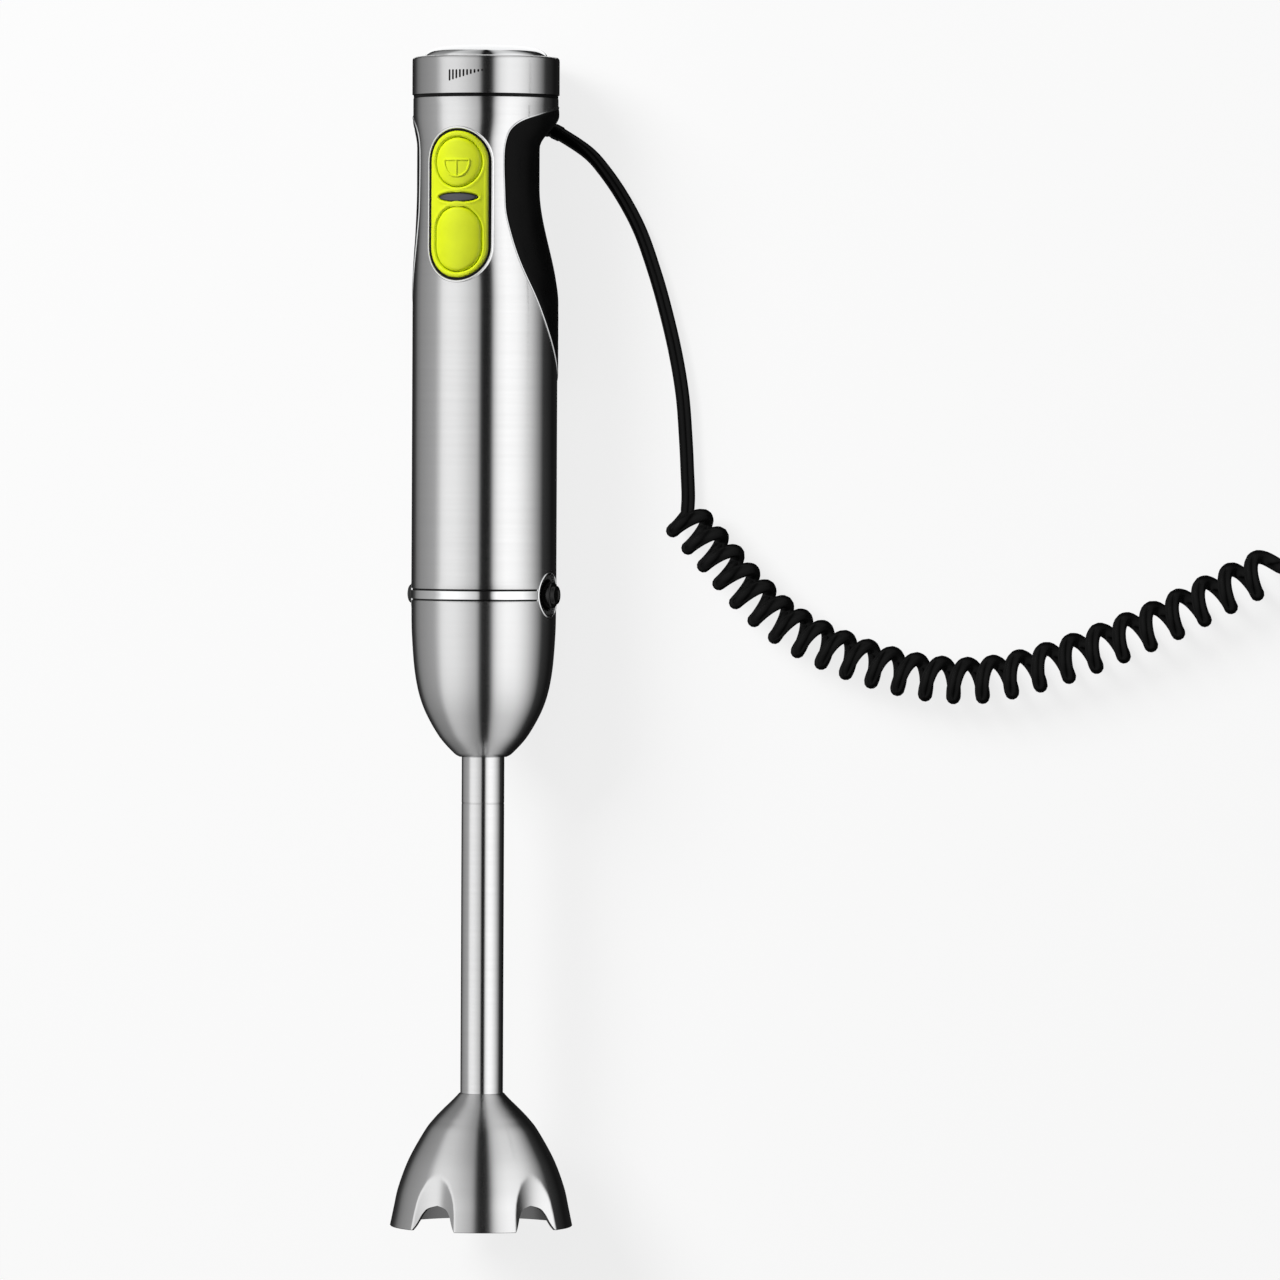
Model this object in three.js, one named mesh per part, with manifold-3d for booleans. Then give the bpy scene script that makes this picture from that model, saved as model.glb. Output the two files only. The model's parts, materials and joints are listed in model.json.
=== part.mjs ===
// An immersion blender lying on its back on a table, with a curly mains cord.
//
// Millimetres. The blender is modelled upright: its axis is Z, the rim of its bell is at z = 0,
// the buttons face -Y and its right side is +X. A group then lays it down, with its head towards
// +X and its buttons up, and the cord is modelled on the table, which is the plane z = 0.

import * as THREE from "three";
import { mergeVertices } from "three/addons/utils/BufferGeometryUtils.js";
import Module from "manifold-3d";

const wasm = await Module();
wasm.setup();

// ---- Driving dimensions -----------------------------------------------------------------

const GAP = 0.3;              // left between neighbouring pieces
const CUT_MARGIN = 2;         // how far a cutter runs past what it cuts
const AROUND = 28;            // sides of a large round piece
const SMALL_AROUND = 14;      // sides of a small round piece

const BODY_R = 25;            // outside of the steel body
const SHEET = 1.2;            // thickness of the steel body and foot
const CHASSIS_R = 23.3;       // outside of the moulded chassis in the body
const CHASSIS_WALL = 1.7;
const CHASSIS_SPLIT = -6.5;   // where its front and rear halves meet
const RING_R = 25.35;         // outside of the speed dial
const TUBE_R = 7.35;          // outside of the shaft tube
const BELL_R = 31.5;          // rim of the bell
const SHAFT_R = 2.4;          // drive shaft in the foot
const MOTOR_SHAFT_R = 2;

const TUBE_BOTTOM = 34;       // heights up the axis
const BELL_ROOM = 37.5;       // top of the hollow in the bell
const BELL_TOP = 45.8;
const CONE_BOTTOM = 162;
const TUBE_TOP = 198;
const CONE_TOP = 216.1;
const BAND_BOTTOM = 216.4;
const BAND_TOP = 219.6;
const BODY_BOTTOM = 219.9;
const CHASSIS_BOTTOM = 230.3;
const CHASSIS_TOP = 382.7;
const BODY_TOP = 389;
const RING_BOTTOM = 389.7;
const RING_TOP = 402.9;
const APEX = 407;
const MIDDLE = 203;           // lies over the origin

// Heights of the pieces inside.
const SHAFT_BOTTOM = 9;
const NUT_BOTTOM = 9.4;
const NUT_TOP = 12.6;
const HUB_BOTTOM = 15;
const HUB_TOP = 26;
const SEAL_BOTTOM = 34.2;
const SEAL_TOP = 38.3;
const LOWER_BUSH_TOP = 52;
const UPPER_BUSH_BOTTOM = 184;
const UPPER_BUSH_TOP = 196;
const CUP_BOTTOM = 201;       // driven coupling
const SHAFT_TOP = 207;
const SOCKET_BOTTOM = 208.5;
const TONGUE_BOTTOM = 210.5;
const CUP_TOP = 215.8;
const DRIVE_COUPLING_BOTTOM = 217;
const MOTOR_SHAFT_BOTTOM = 220;
const LATCH_BOTTOM = 223;
const DRIVE_COUPLING_TOP = 225.5;
const LATCH_TOP = 227.7;
const BASE_BOTTOM = 228;
const BASE_TOP = 230;
const LOWER_MOUNT_BOTTOM = 230.9;
const UPPER_MOUNT_BOTTOM = 299.2;
const MOUNT_LENGTHS = [5, 4];
const LOWER_BEARING_BOTTOM = 235.7;
const UPPER_BEARING_BOTTOM = 295.4;
const BEARING_LENGTH = 4;
const BRACKET_THICK = 3;
const FAN_BOTTOM = 240.6;
const FAN_THICK = 6;
const COIL_BOTTOM = 247.5;
const COIL_LENGTH = 31;
const CORE_BOTTOM = 250;      // laminations of the stator and the armature
const CORE_LENGTH = 26;
const COMMUTATOR_BOTTOM = 284;
const COMMUTATOR_TOP = 293;
const BRUSH_Z = 289;
const MOTOR_SHAFT_TOP = 304;
const POT_BOTTOM = 374;       // potentiometer
const POT_TOP = 382.5;

const BUSH_R = 5.8;           // outside of the bushes and the seal in the tube
const BEARING_R = 5;
const COMMUTATOR_R = 6.2;
const BOARD_BACK = -11.8;     // the circuit board lies across the body
const BOARD_FRONT = -13.4;
const SWITCH_HALF = 3.1;

// The waist: the back is scooped out for the fingers, the sides come in a little and the line
// down the front stays straight.
const WAIST_START = 317;
const WAIST_FULL = 358;
const WAIST_FULL_TOP = 371.5;
const WAIST_END = 383;
const WAIST_SIDE = 0.152;     // share of the width lost at the sides
const WAIST_BACK = 0.256;     // share of the depth lost at the back
const WAIST_LEVELS = [317, 328, 338, 348, 358, 371.5, 375.3, 379.1, 383];

const PANEL_WIDTH = 21.5;     // yellow button panel
const PANEL_HEIGHT = 50.3;
const PANEL_Z = 351.8;
const PANEL_FRAME = 0.9;      // dark frame round the panel
const POWER_R = 8.65;
const POWER_Z = 366.2;
const LENS_Z = 354.3;
const LENS_HALF = 7.4;
const LENS_HALF_HEIGHT = 1.7;
const TURBO_WIDTH = 17.3;
const TURBO_HEIGHT = 22.7;
const TURBO_Z = 339.9;
const BUTTON_TRAVEL = 1.2;
const PANEL_LOW = 320;        // range of heights that holds the whole panel
const PANEL_HIGH = 382;
const SKIN_INNER_R = 23.65;   // inside of the panel, the lens and the grip
const SWITCH_FRONT = -17;

const RELEASE_Z = 218;        // release buttons, centred on the band
const RELEASE_RING_R = 8.05;
const RELEASE_HOLE_R = 4.9;
const RELEASE_R = 4.5;
const RELEASE_OUT = 27.4;     // how far the buttons stand out from the axis

const SCALLOPS = 5;           // notches in the bell's rim
const FIRST_SCALLOP = -10.4;  // degrees round from the front, towards the right
const SCALLOP_HALF = 8.5;
const SCALLOP_HEIGHT = 9.5;

const BLADE_R = 21.5;
const BLADE_Z = 13;
const BLADE_THICK = 1.6;
const BLADE_BEND = 5;
const BLADE_FLAT = 8;         // the wings are bent beyond this radius

const CORD_R = 2.4;
const CURL_R = 8.2;           // outside of the curly stretch
const CORD_SIDES = 8;

const LIE_ANGLE = Math.atan((BELL_R - RING_R) / 400);  // bell and dial both touch the table

// ---- Finishes ---------------------------------------------------------------------------

const finish = (color, roughness, metalness = 0) =>
  new THREE.MeshStandardMaterial({ color, roughness, metalness });

const brushedSteel = () => finish(0xb9bbbd, 0.32, 1);
const polishedSteel = () => finish(0xd8dadc, 0.12, 1);
const darkSteel = () => finish(0x6f7276, 0.4, 1);
const copper = () => finish(0xb06a3a, 0.35, 1);
const brass = () => finish(0xb9974e, 0.35, 1);
const yellowRubber = () => finish(0xe2f00f, 0.5);
const blackRubber = () => finish(0x0d0d0d, 0.55);
const blackPlastic = () => finish(0x161616, 0.45);
const whitePlastic = () => finish(0xdedcd4, 0.5);
const greenBoard = () => finish(0x1f5a33, 0.6);
const smokedLens = () => finish(0x2a2c38, 0.15);

// ---- Solids -----------------------------------------------------------------------------

// Shared corners merged, slivers dropped and faces turned outwards.
function merged(geometry) {
  const bare = new THREE.BufferGeometry();
  bare.setAttribute("position", geometry.getAttribute("position").clone());
  if (geometry.index) bare.setIndex(geometry.index.clone());
  const welded = mergeVertices(bare, 1e-4);
  const corners = welded.index.array;
  const position = welded.getAttribute("position");
  const [a, b, c] = [new THREE.Vector3(), new THREE.Vector3(), new THREE.Vector3()];
  const kept = [];
  let volume = 0;
  for (let i = 0; i < corners.length; i += 3) {
    const [p, q, r] = [corners[i], corners[i + 1], corners[i + 2]];
    if (p === q || q === r || r === p) continue;
    kept.push(p, q, r);
    a.fromBufferAttribute(position, p);
    b.fromBufferAttribute(position, q);
    c.fromBufferAttribute(position, r);
    volume += a.dot(b.cross(c));
  }
  if (volume < 0) kept.reverse();
  welded.setIndex(kept);
  return welded;
}

function solid(geometry) {
  const mesh = merged(geometry);
  return new wasm.Manifold(new wasm.Mesh({
    numProp: 3,
    vertProperties: mesh.getAttribute("position").array,
    triVerts: new Uint32Array(mesh.index.array),
  }));
}

function geometryOf(manifold) {
  const mesh = manifold.getMesh();
  const geometry = new THREE.BufferGeometry();
  geometry.setAttribute("position", new THREE.BufferAttribute(mesh.vertProperties, 3));
  geometry.setIndex([...mesh.triVerts]);
  return geometry;
}

const cut = (body, ...tools) =>
  geometryOf(tools.reduce((left, tool) => left.subtract(solid(tool)), solid(body)));
const joined = (body, ...others) =>
  geometryOf(others.reduce((sum, other) => sum.add(solid(other)), solid(body)));
const common = (body, other) => geometryOf(solid(body).intersect(solid(other)));

// A solid of revolution round the axis, from a closed outline of [radius, height] points.
function turned(outline, around = AROUND) {
  const points = [...outline, outline[0]].map(([r, z]) => new THREE.Vector2(r, z));
  const geometry = new THREE.LatheGeometry(points, around, Math.PI / around);
  return merged(geometry.rotateX(Math.PI / 2));
}

const sleeve = (inner, outer, bottom, top, around = SMALL_AROUND) =>
  turned([[inner, bottom], [outer, bottom], [outer, top], [inner, top]], around);

const disc = (radius, bottom, top, around = SMALL_AROUND) =>
  turned([[0, bottom], [radius, bottom], [radius, top], [0, top]], around);

// A box from one corner to the other.
function block([x0, y0, z0], [x1, y1, z1]) {
  const geometry = new THREE.BoxGeometry(x1 - x0, y1 - y0, z1 - z0);
  return geometry.translate((x0 + x1) / 2, (y0 + y1) / 2, (z0 + z1) / 2);
}

const extruded = (shape, depth, curveSegments = 8) =>
  new THREE.ExtrudeGeometry(shape, { depth, bevelEnabled: false, curveSegments });

// An outline in the XZ plane, extruded along Y.
const alongY = (shape, front, back, curveSegments) =>
  extruded(shape, back - front, curveSegments).rotateX(Math.PI / 2).translate(0, back, 0);

// An outline in the YZ plane, extruded along X.
const alongX = (shape, left, right, curveSegments) =>
  extruded(shape, right - left, curveSegments)
    .rotateX(Math.PI / 2).rotateZ(Math.PI / 2).translate(left, 0, 0);

// Points spread evenly along a smooth curve through a few [radius, height] points.
function smooth(points, count) {
  const curve = new THREE.SplineCurve(points.map(([x, y]) => new THREE.Vector2(x, y)));
  return curve.getPoints(count).map((point) => point.toArray());
}

function polygon(points) {
  return new THREE.Shape(points.map(([x, y]) => new THREE.Vector2(x, y)));
}

function circle(radius, x = 0, y = 0) {
  const shape = new THREE.Shape();
  shape.absarc(x, y, radius, 0, 2 * Math.PI);
  return shape;
}

// An upright slot with round ends.
function stadium(width, height, middle) {
  const r = width / 2;
  const straight = height / 2 - r;
  const shape = new THREE.Shape();
  shape.absarc(0, middle + straight, r, 0, Math.PI);
  shape.absarc(0, middle - straight, r, Math.PI, 2 * Math.PI);
  return shape;
}

// ---- The body's waist -------------------------------------------------------------------

// 0 where the body is a plain cylinder, 1 where the waist is deepest.
function waistAt(z) {
  const below = THREE.MathUtils.smoothstep(z, WAIST_START, WAIST_FULL);
  const above = THREE.MathUtils.smoothstep(z, WAIST_FULL_TOP, WAIST_END);
  return below - above;
}

function squeezed(geometry) {
  const position = geometry.getAttribute("position");
  for (let i = 0; i < position.count; i++) {
    const waist = waistAt(position.getZ(i));
    position.setX(i, position.getX(i) * (1 - WAIST_SIDE * waist));
    position.setY(i, (position.getY(i) + BODY_R) * (1 - WAIST_BACK * waist) - BODY_R);
  }
  return geometry;
}

// A layer of the body between two radii and two heights, following the waist.
function layer(inner, outer, bottom, top) {
  const between = WAIST_LEVELS.filter((z) => z > bottom + 1 && z < top - 1);
  const levels = [bottom, ...between, top];
  const outside = levels.map((z) => [outer, z]);
  const inside = levels.map((z) => [inner, z]).reverse();
  return squeezed(turned([...outside, ...inside]));
}

// Side view of the rubber grip: a tongue that covers the scoop and runs to a tip lower down.
function gripOutline(margin) {
  const edge = [
    [28, 387.6 + margin], [6.8, 385.6 + margin], [-8, 383.2 + margin],
    [-16.8 - margin, 379.6 + margin], [-19.5 - margin, 372], [-19.5 - margin, 356],
    [-18.9 - margin, 346.4], [-15.9 - margin, 333.3], [-10.9 - margin, 322],
    [-1.5 - margin, 306.4 - margin], [10, 293.5 - margin], [28, 281.5 - margin],
  ];
  const curve = new THREE.SplineCurve(edge.map(([y, z]) => new THREE.Vector2(y, z)));
  return new THREE.Shape(curve.getPoints(20));
}

const gripSpace = (margin) =>
  alongX(gripOutline(margin), -BODY_R - CUT_MARGIN, BODY_R + CUT_MARGIN);

// ---- Foot: cone, tube, bell and what they hold ------------------------------------------

// Room for a round release button and its ring, from either side.
const releaseRoom = (radius, inner, side) =>
  side > 0
    ? alongX(circle(radius, 0, RELEASE_Z), inner, BODY_R + CUT_MARGIN)
    : alongX(circle(radius, 0, RELEASE_Z), -BODY_R - CUT_MARGIN, -inner);

const bothRooms = (radius, inner) => [
  releaseRoom(radius, inner, 1),
  releaseRoom(radius, inner, -1),
];

function footCone() {
  const outside = smooth([
    [8.2, CONE_BOTTOM], [10.4, 163.5], [15.6, 169.5], [20.8, 179.3], [23.5, 189.9],
    [24.7, 204], [24.95, CONE_TOP],
  ], 8);
  const inside = smooth([[22.7, CONE_TOP], [22.5, 200], [19.6, 184], [13, 170.5]], 3);
  const neck = [[TUBE_R + GAP, 168], [TUBE_R + GAP, CONE_BOTTOM]];
  return cut(turned([...outside, ...inside, ...neck]), ...bothRooms(RELEASE_RING_R + GAP, 17.5));
}

// The moulded core of the foot: it grips the tube and plugs into the body.
function footCollar() {
  const core = turned([
    [TUBE_R + GAP, 186], [18.5, 186], [21.6, 199.5], [22.1, 215.7], [12.7, 215.7],
    [12.7, 227.7], [9.4, 227.7], [9.4, TUBE_TOP + GAP], [TUBE_R + GAP, TUBE_TOP + GAP],
  ]);
  return cut(core, ...bothRooms(RELEASE_RING_R + GAP, 16.5));
}

function scallop(index) {
  const arch = new THREE.Shape();
  arch.moveTo(-SCALLOP_HALF, -CUT_MARGIN);
  arch.lineTo(SCALLOP_HALF, -CUT_MARGIN);
  arch.absellipse(0, 0, SCALLOP_HALF, SCALLOP_HEIGHT, 0, Math.PI);
  const angle = FIRST_SCALLOP + (index * 360) / SCALLOPS;
  return alongY(arch, -BELL_R - CUT_MARGIN, -20, 6).rotateZ(THREE.MathUtils.degToRad(angle));
}

function bellGuard() {
  const outside = smooth([
    [BELL_R, 0], [30.2, 6.3], [28.6, 13.4], [25, 23], [19.5, 32.6], [13.1, 39.4], [8.1, BELL_TOP],
  ], 9);
  const inside = smooth([[12, BELL_ROOM], [17.8, 31.9], [23.4, 22.3], [27.1, 13], [30.1, 0]], 6);
  const neck = [[TUBE_R + GAP, BELL_TOP], [TUBE_R + GAP, BELL_ROOM]];
  const bell = turned([...outside, ...neck, ...inside], 40);
  return cut(bell, ...Array.from({ length: SCALLOPS }, (_, index) => scallop(index)));
}

// One swept wing of the blade, bent up (1) or down (-1) beyond the flat middle.
function bladeWing(bend) {
  const outline = polygon([
    [6, -4.9], [BLADE_FLAT, -5], [13, -4.9], [18, -3.7], [BLADE_R, 0.5],
    [18, 3.2], [13, 3.9], [BLADE_FLAT, 4.3], [6, 4.5],
  ]);
  const wing = merged(extruded(outline, BLADE_THICK).translate(0, 0, BLADE_Z));
  const position = wing.getAttribute("position");
  for (let i = 0; i < position.count; i++) {
    const along = Math.max(position.getX(i) - BLADE_FLAT, 0) / (BLADE_R - BLADE_FLAT);
    position.setZ(i, position.getZ(i) + bend * BLADE_BEND * along ** 1.5);
  }
  return bend > 0 ? wing : wing.rotateZ(Math.PI);
}

function blade() {
  const middle = block([-6.5, -4.5, BLADE_Z], [6.5, 4.5, BLADE_Z + BLADE_THICK]);
  const hole = disc(SHAFT_R + GAP, BLADE_Z - CUT_MARGIN, BLADE_Z + BLADE_THICK + CUT_MARGIN);
  return cut(joined(middle, bladeWing(1), bladeWing(-1)), hole);
}

// A six-sided sleeve, or a six-sided bar where the hole is 0.
const hexagon = (inner, outer, bottom, top) =>
  inner > 0 ? sleeve(inner, outer, bottom, top, 6) : disc(outer, bottom, top, 6);

// ---- Body: shell, trim and controls -----------------------------------------------------

const panelSpace = (margin) =>
  alongY(stadium(PANEL_WIDTH + 2 * margin, PANEL_HEIGHT + 2 * margin, PANEL_Z), -28, -14, 5);
const powerSpace = (margin) => alongY(circle(POWER_R + margin, 0, POWER_Z), -28, -14, 10);
const turboSpace = (margin) =>
  alongY(stadium(TURBO_WIDTH + 2 * margin, TURBO_HEIGHT + 2 * margin, TURBO_Z), -28, -14, 5);

function lensSpace(margin) {
  const half = LENS_HALF + margin;
  const rise = LENS_HALF_HEIGHT + margin;
  const radius = (half * half + rise * rise) / (2 * rise);
  const spread = Math.asin(half / radius);
  const quarter = Math.PI / 2;
  const shape = new THREE.Shape();
  shape.absarc(0, LENS_Z + rise - radius, radius, quarter - spread, quarter + spread);
  shape.absarc(0, LENS_Z - rise + radius, radius, -quarter - spread, -quarter + spread);
  return alongY(shape, -28, -14, 3);
}

function bodyShell() {
  const shell = layer(BODY_R - SHEET, BODY_R, BODY_BOTTOM, BODY_TOP);
  return cut(
    shell,
    panelSpace(PANEL_FRAME + GAP),
    gripSpace(GAP),
    ...bothRooms(RELEASE_RING_R + GAP, 17.5),
  );
}

function rearGrip() {
  const pad = common(layer(SKIN_INNER_R, 25.3, 276, 388.6), gripSpace(0));
  return cut(pad, bootSpace());
}

// A bright band round the joint, which runs into a ring round each release button.
function trimBand() {
  const hoop = sleeve(23.5, 25.1, RELEASE_Z - 10, RELEASE_Z + 10, AROUND);
  const strip = block([-28, -28, BAND_BOTTOM], [28, 28, BAND_TOP]);
  const form = joined(strip, ...bothRooms(RELEASE_RING_R, 17.5));
  return cut(common(hoop, form), ...bothRooms(RELEASE_RING_R - 1.1, 17.5));
}

// The textured washer between a release button and its ring.
function releasePlate(side) {
  const washer = common(
    sleeve(22.4, 23.9, RELEASE_Z - 10, RELEASE_Z + 10, AROUND),
    releaseRoom(RELEASE_RING_R - 1.1 - GAP, 17.5, side),
  );
  return cut(washer, releaseRoom(RELEASE_HOLE_R, 15, side));
}

// A two-step round cap on a stem.
function releaseButton(side) {
  const step = RELEASE_OUT - 1.2;
  const cap = disc(RELEASE_R, 20.5, step);
  const top = disc(RELEASE_R - 1.25, step - 0.5, RELEASE_OUT);
  const stem = disc(1.8, 17.6, 21, 12);
  return joined(cap, top, stem).rotateY((side * Math.PI) / 2).translate(0, 0, RELEASE_Z);
}

const chassis = () =>
  layer(CHASSIS_R - CHASSIS_WALL, CHASSIS_R, CHASSIS_BOTTOM, CHASSIS_TOP);

function chassisHalf(front) {
  const half = front
    ? block([-28, -28, 220], [28, CHASSIS_SPLIT - GAP / 2, 390])
    : block([-28, CHASSIS_SPLIT + GAP / 2, 220], [28, 28, 390]);
  const wall = common(chassis(), half);
  return front ? cut(wall, panelSpace(-1.6)) : cut(wall, bootSpace());
}

function buttonFrame() {
  const rim = common(layer(SKIN_INNER_R, 25.25, PANEL_LOW, PANEL_HIGH), panelSpace(PANEL_FRAME));
  return cut(rim, panelSpace(GAP));
}

function buttonPanel() {
  const skin = common(layer(SKIN_INNER_R, 25.2, PANEL_LOW, PANEL_HIGH), panelSpace(0));
  return cut(skin, powerSpace(0), lensSpace(0), turboSpace(0));
}

// A button's cap follows the body, and its stem reaches in towards its switch.
function frontButton(space, height) {
  const cap = common(layer(22.1, 25.9, PANEL_LOW, PANEL_HIGH), space);
  const stemEnd = SWITCH_FRONT - BUTTON_TRAVEL - 2 * GAP;
  const stem = disc(2.2, 0, 4.3, 8).rotateX(Math.PI / 2).translate(0, stemEnd, height);
  return joined(cap, stem);
}

const indicatorLens = () =>
  common(layer(SKIN_INNER_R, 25.1, PANEL_LOW, PANEL_HIGH), lensSpace(-GAP));

// ---- Head: dial and potentiometer -------------------------------------------------------

function dialRing() {
  return turned([
    [23.9, RING_BOTTOM], [RING_R, RING_BOTTOM], [RING_R, RING_TOP - 1.5], [24.9, RING_TOP - 0.5],
    [24, RING_TOP], [21.4, RING_TOP], [21.4, RING_TOP - 1.4], [23.9, RING_TOP - 1.4],
  ]);
}

function dialCap() {
  return turned([
    [0, 401.4], [21, 401.4], [21, RING_TOP + 0.4], [19.2, 405.2], [16, 406.1], [10, 406.8],
    [0, APEX],
  ]);
}

// The moulded hub that the ring and the cap sit on, with the stem down to the potentiometer.
function dialCarrier() {
  return turned([
    [0, 382.9], [2.6, 382.9], [2.6, 390.2], [23.4, 390.2], [23.4, 392.2], [5, 392.2],
    [5, 401], [0, 401],
  ]);
}

// ---- Motor ------------------------------------------------------------------------------

function ringOutline(outer, radiusAt, points) {
  const shape = circle(outer);
  const inner = Array.from({ length: points }, (_, i) => {
    const angle = ((i + 0.5) * 2 * Math.PI) / points;
    return new THREE.Vector2(radiusAt(i) * Math.cos(angle), radiusAt(i) * Math.sin(angle));
  });
  shape.holes.push(new THREE.Path(inner));
  return shape;
}

// Laminations with a pole piece at the front and at the back.
function stator() {
  const points = 24;
  const isPole = (i) => Math.abs((i % 12) - 5.5) < 2;
  const outline = ringOutline(18.2, (i) => (isPole(i) ? 10.9 : 15.6), points);
  return extruded(outline, CORE_LENGTH, 10).translate(0, 0, CORE_BOTTOM);
}

function fieldCoil(side) {
  const half = THREE.MathUtils.degToRad(52);
  const shape = new THREE.Shape();
  shape.absarc(0, 0, 15, -half, half);
  shape.absarc(0, 0, 11.2, half, -half, true);
  const coil = extruded(shape, COIL_LENGTH, 8).translate(0, 0, COIL_BOTTOM);
  return side > 0 ? coil : coil.rotateZ(Math.PI);
}

function armature() {
  const slots = 12;
  const outline = Array.from({ length: slots * 4 }, (_, i) => {
    const angle = ((i + 0.5) * 2 * Math.PI) / (slots * 4);
    const radius = i % 4 === 0 ? 8.4 : 10.3;
    return [radius * Math.cos(angle), radius * Math.sin(angle)];
  });
  const shape = polygon(outline);
  shape.holes.push(circle(MOTOR_SHAFT_R + GAP));
  return extruded(shape, CORE_LENGTH, 6).translate(0, 0, CORE_BOTTOM);
}

function coolingFan() {
  const blades = 9;
  const outline = [];
  for (let i = 0; i < blades; i++) {
    const start = (i * 2 * Math.PI) / blades;
    for (const [radius, turn] of [[6, 0], [16.5, 0.18], [16.5, 0.3], [6, 0.16]]) {
      outline.push([radius * Math.cos(start + turn), radius * Math.sin(start + turn)]);
    }
  }
  const shape = polygon(outline);
  shape.holes.push(circle(MOTOR_SHAFT_R + GAP));
  return extruded(shape, FAN_THICK, 6).translate(0, 0, FAN_BOTTOM);
}

// A brass holder with its carbon brush, lying in from the side.
function brushHolder(side) {
  const brush = block([6.6, -2.4, BRUSH_Z - 2], [11, 2.4, BRUSH_Z + 2]);
  const holder = block([10.8, -3.4, BRUSH_Z - 3], [17.3, 3.4, BRUSH_Z + 3]);
  return joined(holder, brush).rotateZ(side > 0 ? 0 : Math.PI);
}

// ---- Cord -------------------------------------------------------------------------------

// A tapered rubber boot: a cone bent along the first stretch of the cord.
const BOOT_PATH = [
  [-2.5, 16.3, 376.2], [1.5, 17.6, 377.6], [6.5, 19.9, 378.8], [10.5, 21.7, 379.3],
  [14.5, 22.7, 378.7], [18.4, 23.1, 377],
];
const BOOT_START_R = 3.5;
const BOOT_END_R = 2.7;

const curveThrough = (points) =>
  new THREE.CatmullRomCurve3(points.map(([x, y, z]) => new THREE.Vector3(x, y, z)));

function bentCone(points, startRadius, endRadius, around, steps) {
  const curve = curveThrough(points);
  const frames = curve.computeFrenetFrames(steps);
  const outline = [[0, 0]];
  for (let i = 0; i <= steps; i++) {
    outline.push([THREE.MathUtils.lerp(startRadius, endRadius, i / steps), i]);
  }
  outline.push([0, steps]);
  const cone = turned(outline, around);
  const position = cone.getAttribute("position");
  for (let i = 0; i < position.count; i++) {
    const step = Math.round(position.getZ(i));
    const point = curve.getPointAt(step / steps);
    point.addScaledVector(frames.normals[step], position.getX(i));
    point.addScaledVector(frames.binormals[step], position.getY(i));
    position.setXYZ(i, point.x, point.y, point.z);
  }
  return merged(cone);
}

const strainRelief = () => bentCone(BOOT_PATH, BOOT_START_R, BOOT_END_R, 12, 8);
const bootSpace = () =>
  bentCone([[-7.5, 13.6, 374.8], ...BOOT_PATH], BOOT_START_R + 0.5, BOOT_END_R + 0.6, 12, 9);

function tube(points, radius, steps, sides = CORD_SIDES) {
  const section = polygon(Array.from({ length: sides }, (_, i) => {
    const angle = ((i + 0.5) * 2 * Math.PI) / sides;
    return [radius * Math.cos(angle), radius * Math.sin(angle)];
  }));
  return new THREE.ExtrudeGeometry(section, { steps, extrudePath: curveThrough(points) });
}

// On the table: out from under the head, round the side and down into the curly stretch.
const LEAD_PATH = [
  [173.2, -20, 2.5], [167.4, -28.3, 2.5], [161.1, -34.5, 2.5], [151.4, -41.6, 2.5],
  [139.7, -48.1, 2.5], [125.6, -53.4, 2.5], [112.8, -57.3, 2.5], [98, -61, 2.5],
  [83.2, -63.6, 2.5], [68.4, -64.8, 2.5], [56.5, -65.4, 2.5], [48.4, -65.7, 2.5],
];
const CURL_HEIGHT = CURL_R + 0.1;
const CURL_PATH = [
  [42.6, -65.3], [27.2, -80], [14.9, -91.8], [4.3, -105.4], [-3.5, -121.8], [-9.1, -139.2],
  [-12.5, -156.9], [-12.7, -176.1], [-8.3, -196.8], [-1.4, -217], [7, -238], [16.5, -258],
  [25.2, -276], [31, -288],
].map(([x, y]) => [x, y, CURL_HEIGHT]);
const TAIL_PATH = [
  [32.4, -290.6, 4.4], [36.4, -297, 3], [41.5, -304, 2.6], [48.5, -311, 2.5], [58, -317.5, 2.5],
  [70, -322.5, 2.5], [84, -325.4, 2.5], [98, -326, 2.6], [108, -326, 3.2], [118, -326, 5.2],
  [128, -326, 6.8], [133, -326, 7],
];
const PLUG = new THREE.Vector3(133.3, -326, 7);
const PLUG_LENGTH = 50;
const PLUG_THICK = 14;
const PIN_R = 2;
const PIN_LENGTH = 19;
const PIN_OFFSET = 9.3;       // from the plug's middle

// A flat two-pin plug on its side, with its cord coming in at x = 0.
function plugBody() {
  const outline = polygon([
    [0, -3.6], [12, -4.6], [18, -9], [27, -15.5], [35, -17.4], [47, -17.4], [PLUG_LENGTH, -15.5],
    [PLUG_LENGTH, 15.5], [47, 17.4], [35, 17.4], [27, 15.5], [18, 9], [12, 4.6], [0, 3.6],
  ]);
  return extruded(outline, PLUG_THICK).translate(0, 0, -PLUG_THICK / 2);
}

const plugPin = () => disc(PIN_R, 0, PIN_LENGTH, 16).rotateY(Math.PI / 2);

// ---- Assembly ---------------------------------------------------------------------------

function add(parent, name, geometry, material) {
  const mesh = new THREE.Mesh(merged(geometry), material);
  mesh.name = name;
  parent.add(mesh);
  return mesh;
}

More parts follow.
